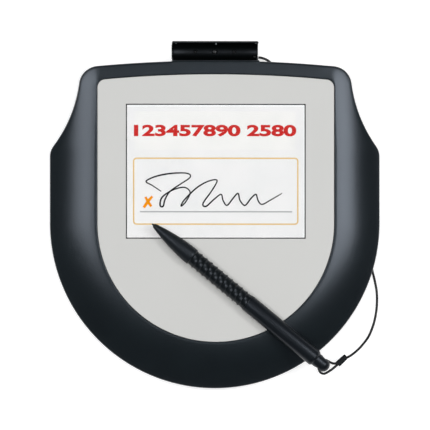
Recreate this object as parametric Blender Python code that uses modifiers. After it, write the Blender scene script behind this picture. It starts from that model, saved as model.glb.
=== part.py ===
"""Signature pad with a 4:3 writing window, a stylus trough behind it and a stylus on a tether.

Metres, +Z up. The pad lies on its feet at Z = 0, its palm rest points to -Y and the stylus trough to +Y.
The origin is the centre of the base of the box round the pad, trough and stylus.
"""

import math

import bmesh
import bpy
from mathutils import Vector

QUARTER = math.pi / 2
CLEARANCE = 0.0003
OVERRUN = 0.002
MERGE = 0.00001

# Writing window, its glass and the display under it
GLASS_WIDTH = 0.1014
GLASS_DEPTH = 0.0758
GLASS_GROOVE = 0.0006
WINDOW_BELOW_PALM_CENTRE = 0.0081
GASKET_THICK = 0.0004
CELL_RIM = 0.003
CELL_THICK = 0.0018
GUIDE_THICK = 0.0014
FRAME_WALL = 0.0005
SENSOR_THICK = 0.0008
SHIELD_THICK = 0.0004

# Pale front panel: a half round foot, straight sides, small corners and an arched top edge
PANEL_BESIDE_WINDOW = 0.0168
PANEL_ABOVE_WINDOW = 0.0098
PANEL_CORNER = 0.0046
PANEL_THICK = 0.001
PANEL_SUNK = 0.0003
BROW_TURN = math.radians(5.5)

# Housing outline from above, which follows the panel with a drawn-in waist on each side
BEZEL_SIDE = 0.0263
BEZEL_TOP = 0.0076
SHOULDER_RADIUS = 0.0114
SHOULDER_TURN = math.radians(35)
WAIST_RADIUS = 0.0855
WAIST_TURN = math.radians(25)
CORNER_RADIUS = 0.012

# Steps along half an outline
PALM_STEPS = 14
SIDE_STEPS = 1
SHOULDER_STEPS = 3
WAIST_STEPS = 4
CORNER_STEPS = 5
BROW_STEPS = 4

# Walls, seam and crown of the two housing halves
WALL = 0.0022
DECK_THICK = 0.0018
FLOOR_THICK = 0.0024
BASE_HEIGHT = 0.0028
RIM_RISE = 0.002
CROWN_EASE_SHARE = 0.21
CROWN_SHARES = (0, 0.2, 0.4, 0.6, 0.8, 1)
CEILING_SHARES = (0.1, 0.25, 0.5, 0.75, 1)
EDGE_RADIUS = 0.001
EDGE_CUT_SHARE = 0.29
BASE_TUCK = 0.003
BASE_STEP = 0.0003
LIP_THICK = 0.0015
LIP_RISE = 0.0008

# Feet: how far each stands in from the housing's edges
FOOT_PROUD = 0.0022
FOOT_RADIUS = 0.006
FOOT_SEAT = 0.0008
FOOT_EDGE = 0.0005
REAR_FOOT_FROM_SIDE = 0.0358
REAR_FOOT_FROM_TOP = 0.0267
FRONT_FOOT_FROM_PALM = 0.0233
FRONT_FOOT_ANGLE = math.radians(34.6)

# Main board and what it carries
BOARD_BESIDE_POST = 0.002
BOARD_DEPTH = 0.0735
BOARD_FROM_TOP = 0.0042
BOARD_THICK = 0.0016
BOARD_BOSS = 0.0011
COMPONENT_ROOM = 0.002
BOSS_RADIUS = 0.0025
BOARD_SCREW_FROM_EDGE = 0.004
BOARD_SCREW_FROM_REAR = 0.0105
SOLDER_GAP = 0.0001
CHIP_THICK = 0.0014
CHIP_ROW_SHARE = 0.5
PROCESSOR_SIZE = 0.014
MEMORY_WIDTH = 0.011
MEMORY_DEPTH = 0.008
MEMORY_X_SHARE = 0.23
SENSOR_CHIP_SIZE = 0.009
SENSOR_CHIP_X_SHARE = -0.25
CRYSTAL_WIDTH = 0.005
CRYSTAL_DEPTH = 0.0032
CRYSTAL_ROW_SHARE = 0.285
INDUCTOR_RADIUS = 0.0025
INDUCTOR_X_SHARE = -0.375
INDUCTOR_ROW_SHARE = 0.75

# Ribbon cables and their connectors
CONNECTOR_WIDTH = 0.026
CONNECTOR_DEPTH = 0.004
CONNECTOR_FROM_REAR = 0.0075
SENSOR_CONNECTOR_X_SHARE = 0.33
SENSOR_CONNECTOR_WIDTH = 0.012
RIBBON_MARGIN = 0.002
RIBBON_THICK = 0.0003
RIBBON_STEPS = 6

# Data socket in the rear wall
SOCKET_BESIDE_TROUGH = 0.0134
SOCKET_WIDTH = 0.009
SOCKET_HEIGHT = 0.0032
SOCKET_DEPTH = 0.0074
SOCKET_WALL = 0.0003
SOCKET_CORNER = 0.0014
SOCKET_SUNK = 0.0012
TONGUE_BESIDE = 0.0009
TONGUE_THICK = 0.0007
TONGUE_BASE = 0.0012
TONGUE_SHORT = 0.001

# Screws, and how far the housing's six stand in from its edges
SCREW_RADIUS = 0.0012
SCREW_HEAD_RADIUS = 0.0026
SCREW_HEAD = 0.0008
HOUSING_BOSS_WALL = 0.00175
HOUSING_BOSS_SINK = 0.0006
HOUSING_SCREW_LENGTH = 0.0085
COUNTERBORE = 0.0012
SIDE_SCREW_FROM_SIDE = 0.0218
SIDE_SCREW_Y = 0.008
FRONT_SCREW_FROM_PALM = 0.0229
FRONT_SCREW_ANGLE = math.radians(49.6)
REAR_SCREW_FROM_PANEL = 0.0075
REAR_SCREW_FROM_TOP = 0.0127
BOARD_SCREW_LENGTH = 0.0028
BRACKET_SCREW_LENGTH = 0.0033
BRACKET_SCREW_X = 0.010
BRACKET_SCREW_FROM_FRONT = 0.008

# Stylus, from its nib to its round end
STYLUS_TIP_X = -0.0367
STYLUS_TIP_Y = -0.00024
STYLUS_HEADING = math.radians(-39.3)
BARREL_RADIUS = 0.0047
BARREL_LENGTH = 0.0499
BARREL_EDGE = 0.0003
BARREL_SPIGOT = 0.004
BARREL_WALL = 0.0009
NOSE_START = 0.0014
NOSE_LENGTH = 0.0279
NOSE_MOUTH_RADIUS = 0.0011
NOSE_PROUD = 0.00025
NOSE_POWER = 0.62
NOSE_STEPS = 10
GRIP_LENGTH = 0.0403
GRIP_RIBS = 11
GRIP_RIB_STEPS = 4
GRIP_RIB = 0.00045
GRIP_WALL = 0.0011
NECK_LENGTH = 0.0028
NECK_STEP = 0.00115
CAP_LENGTH = 0.0105
CAP_PLUG = 0.006
CAP_DOME_STEPS = 6
EYELET_FROM_END = 0.0049
NIB_RADIUS = 0.0008
NIB_TIP_RADIUS = 0.0004
NIB_TAPER = 0.0016
NIB_PAST_CORE = 0.001
NIB_TRAVEL = 0.0004
FERRITE_BEHIND = 0.0023
FERRITE_LENGTH = 0.0125
FERRITE_RADIUS = 0.0016
COIL_THICK = 0.0005
COIL_MARGIN = 0.002
PAD_LENGTH = 0.002
PAD_BESIDE = 0.0006
PEN_BOARD_THICK = 0.0008
PEN_BOARD_LENGTH = 0.030
TURNED_STEPS = 20

# Stylus trough, its bracket and the tether's gland
TROUGH_SLACK = 0.0002
TROUGH_WALL = 0.001
TROUGH_LENGTH = 0.0493
TROUGH_BEHIND = 0.0050
TROUGH_DROP = 0.0071
TROUGH_LIP = math.radians(25)
TROUGH_FOOT_HALF = 0.0044
TROUGH_STEPS = 7
TROUGH_EDGE = 0.0002
BRACKET_THICK = 0.0012
BRACKET_BESIDE_PIN = 0.0059
BRACKET_REACH = 0.0321
PIN_BESIDE_SCREW = 0.0111
PIN_RADIUS = 0.00075
HOLDER_SCREW_RADIUS = 0.0008
HOLDER_SCREW_HEAD_RADIUS = 0.0013
HOLDER_SCREW_HEAD = 0.001
HOLDER_SCREW_SUNK = 0.0002
GLAND_LENGTH = 0.003
GLAND_FORWARD = 0.0027
GLAND_RISE = 0.0014

# Tether: its diameter, its crimp sleeve and the room round it in the stylus's eyelet
CORD_RADIUS = 0.00055
CORD_IN_EYELET = 0.00045
CURVE_STEPS = 16
CORD_SPACING = 0.0037
LOOP_SPACING = 0.0012
SLEEVE_LENGTH = 0.0064
SLEEVE_WIDTH = 0.0026
SLEEVE_THICK = 0.0018
SLEEVE_EDGE = 0.0003
CORD_SIDES = 2

# Points that the tether is laid through, from the gland to the sleeve
TETHER_ROUTE = (
    (0.02495, 0.0902, 0.0051), (0.0266, 0.0902, 0.0050), (0.0290, 0.0893, 0.0042),
    (0.0314, 0.0872, 0.0028), (0.0338, 0.0842, 0.0013), (0.0362, 0.0800, 0.0006),
    (0.0392, 0.0716, 0.0006), (0.0386, 0.0600, 0.0006), (0.0310, 0.0490, 0.0006),
    (0.0190, 0.0400, 0.0006), (0.0060, 0.0310, 0.0006), (-0.0010, 0.0190, 0.0006),
    (0.0010, 0.0060, 0.0006), (0.0110, -0.0030, 0.0006), (0.0250, -0.0050, 0.0006),
    (0.0400, 0.0000, 0.0006), (0.0550, 0.0050, 0.0006), (0.0700, 0.0050, 0.0006),
    (0.0814, -0.0030, 0.0006), (0.0874, -0.0158, 0.0006), (0.0901, -0.0303, 0.0006),
    (0.0916, -0.0367, 0.0006), (0.0929, -0.0440, 0.0006), (0.0929, -0.0521, 0.0007),
    (0.0917, -0.0593, 0.0012), (0.0893, -0.0663, 0.0034), (0.0861, -0.0720, 0.0068),
    (0.0824, -0.0764, 0.0103), (0.0783, -0.0795, 0.0131), (0.07466, -0.08054, 0.01469),
)

# Points of the loop through the stylus's eyelet: along the stylus, across it and up, from the eyelet's centre
LOOP_ROUTE = (
    (0.00895, 0.00540, -0.00560), (0.00895, 0.00400, -0.00560), (0.00850, 0.00180, -0.00540),
    (0.00760, -0.00060, -0.00490), (0.00620, -0.00280, -0.00410), (0.00440, -0.00440, -0.00300),
    (0.00240, -0.00510, -0.00190), (0.00080, -0.00480, -0.00080), (0.00010, -0.00330, -0.00010),
    (0, -0.00150, 0), (0, 0.00150, 0), (0.00010, 0.00330, -0.00010), (0.00065, 0.00455, -0.00075),
    (0.00180, 0.00450, -0.00200), (0.00340, 0.00410, -0.00350), (0.00500, 0.00400, -0.00460),
    (0.00660, 0.00450, -0.00530), (0.00765, 0.00540, -0.00560),
)
SLEEVE_START = (0.0083, 0.0057, -0.0057)
SLEEVE_ALONG = (0.03, 0.93, -0.366)


# Plan sizes that follow, in the pad's own frame, whose origin is the palm rest's centre
CELL_WIDTH = GLASS_WIDTH + 2 * CELL_RIM
CELL_DEPTH = GLASS_DEPTH + 2 * CELL_RIM
GUIDE_WIDTH = CELL_WIDTH + 2 * FRAME_WALL
GUIDE_DEPTH = CELL_DEPTH + 2 * FRAME_WALL
FRAME_WIDTH = GUIDE_WIDTH + 2 * (CLEARANCE + FRAME_WALL)
FRAME_DEPTH = GUIDE_DEPTH + 2 * (CLEARANCE + FRAME_WALL)
WINDOW_Y = GLASS_DEPTH / 2 - WINDOW_BELOW_PALM_CENTRE
PANEL_RADIUS = GLASS_WIDTH / 2 + PANEL_BESIDE_WINDOW
PANEL_SIDE = WINDOW_Y + GLASS_DEPTH / 2 + PANEL_ABOVE_WINDOW
HOUSING_RADIUS = PANEL_RADIUS + BEZEL_SIDE
BEZEL_WIDTH = BEZEL_SIDE - CLEARANCE
POST_X = FRAME_WIDTH / 2 - BOSS_RADIUS
POST_FRONT_Y = WINDOW_Y - FRAME_DEPTH / 2 + BOSS_RADIUS
POST_REAR_Y = WINDOW_Y + FRAME_DEPTH / 2 - BOSS_RADIUS
SHIELD_REAR_Y = WINDOW_Y + FRAME_DEPTH / 2
BOARD_WIDTH = 2 * (POST_X - BOSS_RADIUS - BOARD_BESIDE_POST)
SENSOR_CONNECTOR_X = BOARD_WIDTH * SENSOR_CONNECTOR_X_SHARE

# Heights that follow, from the feet up to the crown's ridge
BASE_UNDER = FOOT_PROUD
FLOOR_TOP = BASE_UNDER + FLOOR_THICK
PARTING_HEIGHT = BASE_UNDER + BASE_HEIGHT
RIM_HEIGHT = PARTING_HEIGHT + RIM_RISE
BOARD_UNDER = FLOOR_TOP + BOARD_BOSS + CLEARANCE
BOARD_TOP = BOARD_UNDER + BOARD_THICK
SHIELD_UNDER = BOARD_TOP + COMPONENT_ROOM
SHIELD_TOP = SHIELD_UNDER + SHIELD_THICK
SENSOR_UNDER = SHIELD_TOP + CLEARANCE
SENSOR_TOP = SENSOR_UNDER + SENSOR_THICK
FRAME_UNDER = SENSOR_TOP + CLEARANCE
FRAME_FLOOR = FRAME_UNDER + FRAME_WALL
GUIDE_UNDER = FRAME_FLOOR + CLEARANCE
GUIDE_TOP = GUIDE_UNDER + GUIDE_THICK
CELL_UNDER = GUIDE_TOP + CLEARANCE
CELL_TOP = CELL_UNDER + CELL_THICK
GASKET_UNDER = CELL_TOP + CLEARANCE
DECK_TOP = GASKET_UNDER + GASKET_THICK
DECK_UNDER = DECK_TOP - DECK_THICK
FRAME_TOP = DECK_UNDER - CLEARANCE
PANEL_UNDER = DECK_TOP + CLEARANCE
PANEL_TOP = PANEL_UNDER + PANEL_THICK
RIDGE_HEIGHT = PANEL_TOP + PANEL_SUNK

# Stylus sizes that follow, measured along its axis from the nib's tip
GRIP_RADIUS = BARREL_RADIUS
NOSE_RADIUS = BARREL_RADIUS + NOSE_PROUD
GRIP_BORE = GRIP_RADIUS - GRIP_WALL
SPIGOT_RADIUS = GRIP_BORE - CLEARANCE
BARREL_BORE = SPIGOT_RADIUS - BARREL_WALL
CAP_RADIUS = BARREL_RADIUS - NECK_STEP
EYELET_RADIUS = CORD_RADIUS + CORD_IN_EYELET
NOSE_END = NOSE_START + NOSE_LENGTH
GRIP_END = NOSE_END + GRIP_LENGTH
BARREL_END = GRIP_END + BARREL_LENGTH
CAP_END = BARREL_END + CLEARANCE + CAP_LENGTH
EYELET_FROM_TIP = CAP_END - EYELET_FROM_END
FERRITE_START = NOSE_END - BARREL_SPIGOT - FERRITE_BEHIND - FERRITE_LENGTH
FERRITE_END = FERRITE_START + FERRITE_LENGTH
NIB_LENGTH = FERRITE_END + NIB_PAST_CORE
STYLUS_HEIGHT = PANEL_TOP + CLEARANCE + NOSE_RADIUS
STYLUS_BACK = (0, 0, -EYELET_FROM_TIP)
ALONG = Vector((math.cos(STYLUS_HEADING), math.sin(STYLUS_HEADING), 0))
ACROSS = Vector((-math.sin(STYLUS_HEADING), math.cos(STYLUS_HEADING), 0))

# Trough and gland sizes that follow
TROUGH_INSIDE = BARREL_RADIUS + TROUGH_SLACK
TROUGH_RADIUS = TROUGH_INSIDE + TROUGH_WALL
BRACKET_TOP = BASE_UNDER + BRACKET_THICK
TROUGH_UNDER = BRACKET_TOP + CLEARANCE
TROUGH_HEIGHT = TROUGH_UNDER + TROUGH_DROP
TROUGH_FLOOR = TROUGH_HEIGHT - TROUGH_INSIDE
PIN_X = PIN_BESIDE_SCREW
BRACKET_HALF = PIN_X + BRACKET_BESIDE_PIN
SOCKET_X = -TROUGH_LENGTH / 2 - SOCKET_BESIDE_TROUGH
GLAND_RADIUS = 2 * CORD_RADIUS
GLAND_HEIGHT = TROUGH_UNDER + GLAND_RISE

COLOURS = {
    "housing_plastic": ((0.018, 0.021, 0.025), 0.45, 0),
    "panel_grey": ((0.63, 0.63, 0.62), 0.55, 0),
    "window_glass": ((0.90, 0.92, 0.93), 0.08, 0),
    "display_white": ((0.87, 0.87, 0.87), 0.5, 0),
    "black_rubber": ((0.012, 0.012, 0.012), 0.85, 0),
    "black_plastic": ((0.010, 0.012, 0.013), 0.35, 0),
    "cord_black": ((0.010, 0.010, 0.011), 0.5, 0),
    "steel": ((0.55, 0.56, 0.57), 0.35, 1),
    "black_steel": ((0.03, 0.03, 0.032), 0.4, 1),
    "circuit_green": ((0.010, 0.090, 0.035), 0.5, 0),
    "chip_black": ((0.015, 0.015, 0.016), 0.6, 0),
    "connector_cream": ((0.65, 0.60, 0.48), 0.5, 0),
    "ribbon_amber": ((0.42, 0.16, 0.03), 0.4, 0),
    "light_guide_clear": ((0.80, 0.82, 0.83), 0.3, 0),
    "ferrite_grey": ((0.06, 0.06, 0.065), 0.7, 0),
    "copper": ((0.60, 0.25, 0.12), 0.35, 1),
}


def clear_scene():
    for old in list(bpy.data.objects):
        bpy.data.objects.remove(old)


def collection(name):
    made = bpy.data.collections.new(name)
    bpy.context.scene.collection.children.link(made)
    return made


def material(name):
    found = bpy.data.materials.get(name)
    if found:
        return found
    colour, roughness, metallic = COLOURS[name]
    made = bpy.data.materials.new(name)
    made.use_nodes = True
    shader = made.node_tree.nodes["Principled BSDF"]
    shader.inputs["Base Color"].default_value = (*colour, 1)
    shader.inputs["Roughness"].default_value = roughness
    shader.inputs["Metallic"].default_value = metallic
    return made


def empty(name, place, turn=(0, 0, 0)):
    made = bpy.data.objects.new(name, None)
    made.location = place
    made.rotation_euler = turn
    parts.objects.link(made)
    return made


def adopt(obj, name, finish, parent):
    """Names an object, gives it its material and parent and puts it with the parts."""
    for other in list(obj.users_collection):
        other.objects.unlink(obj)
    parts.objects.link(obj)
    obj.name = name
    obj.parent = parent
    obj.data.materials.clear()
    obj.data.materials.append(material(finish))
    return obj


def as_cutter(obj, parent):
    """Makes an object a hidden tool for a Boolean modifier."""
    for other in list(obj.users_collection):
        other.objects.unlink(obj)
    cutters.objects.link(obj)
    obj.parent = parent
    obj.hide_render = True
    obj.display_type = "WIRE"
    return obj


def boolean(obj, tool, operation):
    modifier = obj.modifiers.new(operation.lower(), "BOOLEAN")
    modifier.operation = operation
    modifier.object = tool
    modifier.solver = "EXACT"
    return obj


def smooth(obj):
    obj.data.shade_smooth()
    obj.data.set_sharp_from_angle(angle=math.radians(35))
    return obj


def bevel(obj, width, segments=2):
    modifier = obj.modifiers.new("rounded edges", "BEVEL")
    modifier.width = width
    modifier.segments = segments
    modifier.limit_method = "ANGLE"
    modifier.angle_limit = math.radians(40)
    return obj


def block(size, low_centre, edge=0):
    """A box standing on low_centre, with rounded edges if edge is given."""
    bpy.ops.mesh.primitive_cube_add(size=1)
    made = bpy.context.object
    for vertex in made.data.vertices:
        vertex.co = (vertex.co.x * size[0], vertex.co.y * size[1], (vertex.co.z + 0.5) * size[2])
    made.location = low_centre
    if edge:
        bevel(made, edge)
    return made


def post(radius, low, high, place, steps=16):
    """An upright cylinder from height low to height high at place."""
    bpy.ops.mesh.primitive_cylinder_add(vertices=steps, radius=radius, depth=high - low)
    made = bpy.context.object
    made.location = (place[0], place[1], (low + high) / 2)
    return smooth(made)


def turned(name, profile, finish, parent, place, hollow=False, steps=TURNED_STEPS):
    """A turned piece about local Z. The profile runs down its outer side, and back up the bore if hollow."""
    mesh = bpy.data.meshes.new(name)
    count = len(profile)
    edges = [(i, i + 1) for i in range(count - 1)]
    if hollow:
        edges.append((count - 1, 0))
    mesh.from_pydata([(radius, 0, height) for radius, height in profile], edges, [])
    made = bpy.data.objects.new(name, mesh)
    screw = made.modifiers.new("turned", "SCREW")
    screw.steps = steps
    screw.render_steps = steps
    screw.use_merge_vertices = True
    screw.merge_threshold = MERGE
    screw.use_smooth_shade = True
    parts.objects.link(made)
    made.location = place
    return adopt(made, name, finish, parent)


def loft(name, rings, finish, parent):
    """A closed body through half rings that start and end on X = 0, capped at both ends and mirrored."""
    work = bmesh.new()
    rows = [[work.verts.new(point) for point in ring] for ring in rings]
    for row, following in zip(rows, rows[1:]):
        for i in range(len(row) - 1):
            work.faces.new((row[i], row[i + 1], following[i + 1], following[i]))
    work.faces.new(list(reversed(rows[0])))
    work.faces.new(rows[-1])
    mesh = bpy.data.meshes.new(name)
    work.to_mesh(mesh)
    work.free()
    made = bpy.data.objects.new(name, mesh)
    mirror = made.modifiers.new("mirrored half", "MIRROR")
    mirror.merge_threshold = MERGE
    parts.objects.link(made)
    return adopt(made, name, finish, parent)


def flat(name, outlines, low, high, finish, parent):
    """A flat plate between two heights. Outlines after the first one are its holes."""
    data = bpy.data.curves.new(name, "CURVE")
    data.dimensions = "2D"
    data.fill_mode = "BOTH"
    data.extrude = (high - low) / 2
    for outline in outlines:
        spline = data.splines.new("POLY")
        spline.points.add(len(outline) - 1)
        for point, place in zip(spline.points, outline):
            point.co = (place[0], place[1], 0, 1)
        spline.use_cyclic_u = True
    made = bpy.data.objects.new(name, data)
    made.location = (0, 0, (low + high) / 2)
    parts.objects.link(made)
    return adopt(made, name, finish, parent)


def as_mesh(curve):
    """Replaces a curve object by a mesh object of the same shape and place, with its caps welded on."""
    bpy.context.view_layer.update()
    shape = curve.evaluated_get(bpy.context.evaluated_depsgraph_get())
    mesh = bpy.data.meshes.new_from_object(shape)
    work = bmesh.new()
    work.from_mesh(mesh)
    bmesh.ops.remove_doubles(work, verts=work.verts, dist=MERGE)
    work.to_mesh(mesh)
    work.free()
    name = curve.name
    parent = curve.parent
    made = bpy.data.objects.new(name, mesh)
    parts.objects.link(made)
    made.parent = parent
    made.matrix_basis = curve.matrix_basis.copy()
    bpy.data.objects.remove(curve)
    made.name = name
    return made


def rectangle(width, depth, centre_y, centre_x=0):
    half, deep = width / 2, depth / 2
    return [
        (centre_x - half, centre_y - deep),
        (centre_x + half, centre_y - deep),
        (centre_x + half, centre_y + deep),
        (centre_x - half, centre_y + deep),
    ]


def arc_on(points, heading, radius, turn, steps):
    """Adds a tangent arc to a run of points, to the left for a positive turn, and returns the new heading."""
    side = math.copysign(1, turn)
    x, y = points[-1]
    centre_x = x - side * radius * math.sin(heading)
    centre_y = y + side * radius * math.cos(heading)
    for step in range(1, steps + 1):
        angle = heading + turn * step / steps
        points.append((
            centre_x + side * radius * math.sin(angle),
            centre_y - side * radius * math.cos(angle),
        ))
    return heading + turn


def close_brow(points, heading):
    """Ends an outline with the shallow arch that reaches X = 0 level."""
    arc_on(points, heading, points[-1][0] / math.sin(BROW_TURN), BROW_TURN, BROW_STEPS)
    points[-1] = (0, points[-1][1])
    return points


def housing_half(inset=0, side=None):
    """Right half of the housing's outline, from the middle of the palm edge to the middle of the top edge."""
    points = [(0, inset - HOUSING_RADIUS)]
    heading = arc_on(points, 0, HOUSING_RADIUS - inset, QUARTER, PALM_STEPS)
    x, y = points[-1]
    points.append((x, y + (HOUSING_SIDE if side is None else side)))
    heading = arc_on(points, heading, SHOULDER_RADIUS - inset, SHOULDER_TURN, SHOULDER_STEPS)
    heading = arc_on(points, heading, WAIST_RADIUS + inset, -WAIST_TURN, WAIST_STEPS)
    turn = math.pi - BROW_TURN - heading
    heading = arc_on(points, heading, CORNER_RADIUS - inset, turn, CORNER_STEPS)
    return close_brow(points, heading)


def panel_top():
    """Where the middle of the panel's arched top edge lies."""
    points = [(PANEL_RADIUS, PANEL_SIDE)]
    heading = arc_on(points, QUARTER, PANEL_CORNER, QUARTER - BROW_TURN, CORNER_STEPS)
    return close_brow(points, heading)[-1][1]


def panel_half(grow=0):
    """Right half of the panel's outline, with a point for each point of the housing's."""
    points = [(0, -PANEL_RADIUS - grow)]
    heading = arc_on(points, 0, PANEL_RADIUS + grow, QUARTER, PALM_STEPS)
    last = PALM_STEPS + SIDE_STEPS + SHOULDER_STEPS + WAIST_STEPS
    levels = [y for _, y in housing_half()[PALM_STEPS + 1 : last + 1]]
    x = points[-1][0]
    points += [(x, level / levels[-1] * PANEL_SIDE) for level in levels]
    heading = arc_on(points, heading, PANEL_CORNER + grow, QUARTER - BROW_TURN, CORNER_STEPS)
    return close_brow(points, heading)


def both_halves(half):
    """A whole outline from its right half."""
    return half + [(-x, y) for x, y in reversed(half[1:-1])]


def crown(distance):
    """Height of the bezel's crowned surface at a distance outside the panel's recess."""
    out = distance / BEZEL_WIDTH
    ease = CROWN_EASE_SHARE * out + (1 - CROWN_EASE_SHARE) * out * out
    return RIDGE_HEIGHT - (RIDGE_HEIGHT - RIM_HEIGHT) * ease


def between(inner, outer, share, height):
    """A half ring part of the way from one outline to another, at height(distance from the inner one)."""
    ring = []
    for (x0, y0), (x1, y1) in zip(inner, outer):
        x = x0 + (x1 - x0) * share
        y = y0 + (y1 - y0) * share
        ring.append((x, y, height(math.hypot(x - x0, y - y0))))
    return ring


def top_rings():
    """Half rings of the top housing: ceiling, inner wall, outer wall, crown and the panel's recess."""
    recess = panel_half(CLEARANCE)
    inside = housing_half(WALL)
    outside = housing_half()
    softened = housing_half(EDGE_RADIUS)
    cut = EDGE_RADIUS * EDGE_CUT_SHARE
    rings = [
        between(recess, inside, share, lambda d: min(DECK_UNDER, crown(d) - WALL))
        for share in CEILING_SHARES
    ]
    rings.append([(x, y, PARTING_HEIGHT) for x, y in inside])
    rings.append([(x, y, PARTING_HEIGHT) for x, y in outside])
    rings.append(between(recess, outside, 1, lambda d: crown(d) - EDGE_RADIUS))
    rings.append(between(recess, housing_half(cut), 1, lambda d: crown(d) - cut))
    for share in reversed(CROWN_SHARES):
        rings.append(between(recess, softened, share, crown))
    rings.append([(x, y, DECK_TOP) for x, y in recess])
    return rings


def base_rings():
    """Half rings of the base: underside, tucked-in edge, seam, locating lip and floor."""
    seam = PARTING_HEIGHT - CLEARANCE
    lip_top = PARTING_HEIGHT + LIP_RISE
    lip = WALL + CLEARANCE
    steps = (
        (BASE_TUCK, BASE_UNDER),
        (BASE_STEP, seam),
        (lip, seam),
        (lip, lip_top),
        (lip + LIP_THICK, lip_top),
        (lip + LIP_THICK, FLOOR_TOP),
    )
    return [[(x, y, height) for x, y in housing_half(inset)] for inset, height in steps]


def in_pairs(rows):
    """Left and right places by name, from the right one of each row."""
    found = {}
    for row, (x, y) in rows.items():
        found[row + "_left"] = (-x, y)
        found[row + "_right"] = (x, y)
    return found


def on_palm(inset, angle):
    """A place on the palm rest, an inset in from its edge and an angle forward of its side."""
    radius = HOUSING_RADIUS - inset
    return radius * math.cos(angle), -radius * math.sin(angle)


def screw_places():
    """Name and place of each of the six housing screws."""
    return in_pairs({
        "rear": (PANEL_RADIUS - REAR_SCREW_FROM_PANEL, TOP_EDGE_Y - REAR_SCREW_FROM_TOP),
        "side": (HOUSING_RADIUS - SIDE_SCREW_FROM_SIDE, SIDE_SCREW_Y),
        "front": on_palm(FRONT_SCREW_FROM_PALM, FRONT_SCREW_ANGLE),
    })


def foot_places():
    """Name and place of each foot."""
    return in_pairs({
        "rear": (HOUSING_RADIUS - REAR_FOOT_FROM_SIDE, TOP_EDGE_Y - REAR_FOOT_FROM_TOP),
        "front": on_palm(FRONT_FOOT_FROM_PALM, FRONT_FOOT_ANGLE),
    })


def top_edge_y(x):
    """Where the housing's top edge lies at x, off the middle."""
    corner_x, corner_y = housing_half()[-BROW_STEPS - 1]
    radius = corner_x / math.sin(BROW_TURN)
    top = housing_half()[-1][1]
    return top - radius + math.sqrt(radius * radius - x * x)


HOUSING_SIDE = panel_top() + BEZEL_TOP - housing_half(side=0)[-1][1]
TOP_EDGE_Y = housing_half()[-1][1]
TROUGH_Y = TOP_EDGE_Y + TROUGH_BEHIND
BRACKET_FRONT_Y = TROUGH_Y + TROUGH_FOOT_HALF - BRACKET_REACH
BRACKET_SCREW_Y = BRACKET_FRONT_Y + BRACKET_SCREW_FROM_FRONT
BOARD_REAR_Y = TOP_EDGE_Y - BOARD_FROM_TOP
BOARD_FRONT_Y = BOARD_REAR_Y - BOARD_DEPTH
CONNECTOR_Y = BOARD_REAR_Y - CONNECTOR_FROM_REAR
PAD_Y = (HOUSING_RADIUS - TROUGH_Y - TROUGH_RADIUS) / 2
SOCKET_MOUTH_Y = top_edge_y(SOCKET_X) - SOCKET_SUNK
EYELET_PLACE = Vector((STYLUS_TIP_X, STYLUS_TIP_Y + PAD_Y, STYLUS_HEIGHT)) + ALONG * EYELET_FROM_TIP


def make_top_housing():
    obj = loft("top_housing", top_rings(), "housing_plastic", pad)
    boss_low = FLOOR_TOP + CLEARANCE
    screw_tip = BASE_UNDER + COUNTERBORE - CLEARANCE + HOUSING_SCREW_LENGTH
    for place in screw_places().values():
        radius = SCREW_RADIUS + CLEARANCE + HOUSING_BOSS_WALL
        boss = post(radius, boss_low, DECK_UNDER + HOUSING_BOSS_SINK, place)
        boolean(obj, as_cutter(boss, pad), "UNION")
    for place in screw_places().values():
        bore = post(SCREW_RADIUS + CLEARANCE, boss_low - OVERRUN, screw_tip + CLEARANCE, place)
        boolean(obj, as_cutter(bore, pad), "DIFFERENCE")
    window = block(
        (CELL_WIDTH + 2 * CLEARANCE, CELL_DEPTH + 2 * CLEARANCE, DECK_THICK + 2 * OVERRUN),
        (0, WINDOW_Y, DECK_UNDER - OVERRUN),
    )
    boolean(obj, as_cutter(window, pad), "DIFFERENCE")
    boolean(obj, trough_relief(), "DIFFERENCE")
    opening = block(
        (
            SOCKET_WIDTH + 2 * CLEARANCE,
            2 * (SOCKET_DEPTH + OVERRUN),
            SOCKET_HEIGHT + 2 * CLEARANCE,
        ),
        (SOCKET_X, SOCKET_MOUTH_Y, BOARD_TOP + SOLDER_GAP - CLEARANCE),
    )
    boolean(obj, as_cutter(opening, pad), "DIFFERENCE")
    return obj


def trough_relief():
    """The round relief in the rear wall that the stylus trough nests in."""
    bpy.ops.mesh.primitive_cylinder_add(
        vertices=4 * TROUGH_STEPS,
        radius=TROUGH_RADIUS + CLEARANCE,
        depth=TROUGH_LENGTH + 2 * CLEARANCE,
    )
    made = bpy.context.object
    made.location = (0, TROUGH_Y, TROUGH_HEIGHT)
    made.rotation_euler = (0, QUARTER, 0)
    return as_cutter(made, pad)


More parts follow.
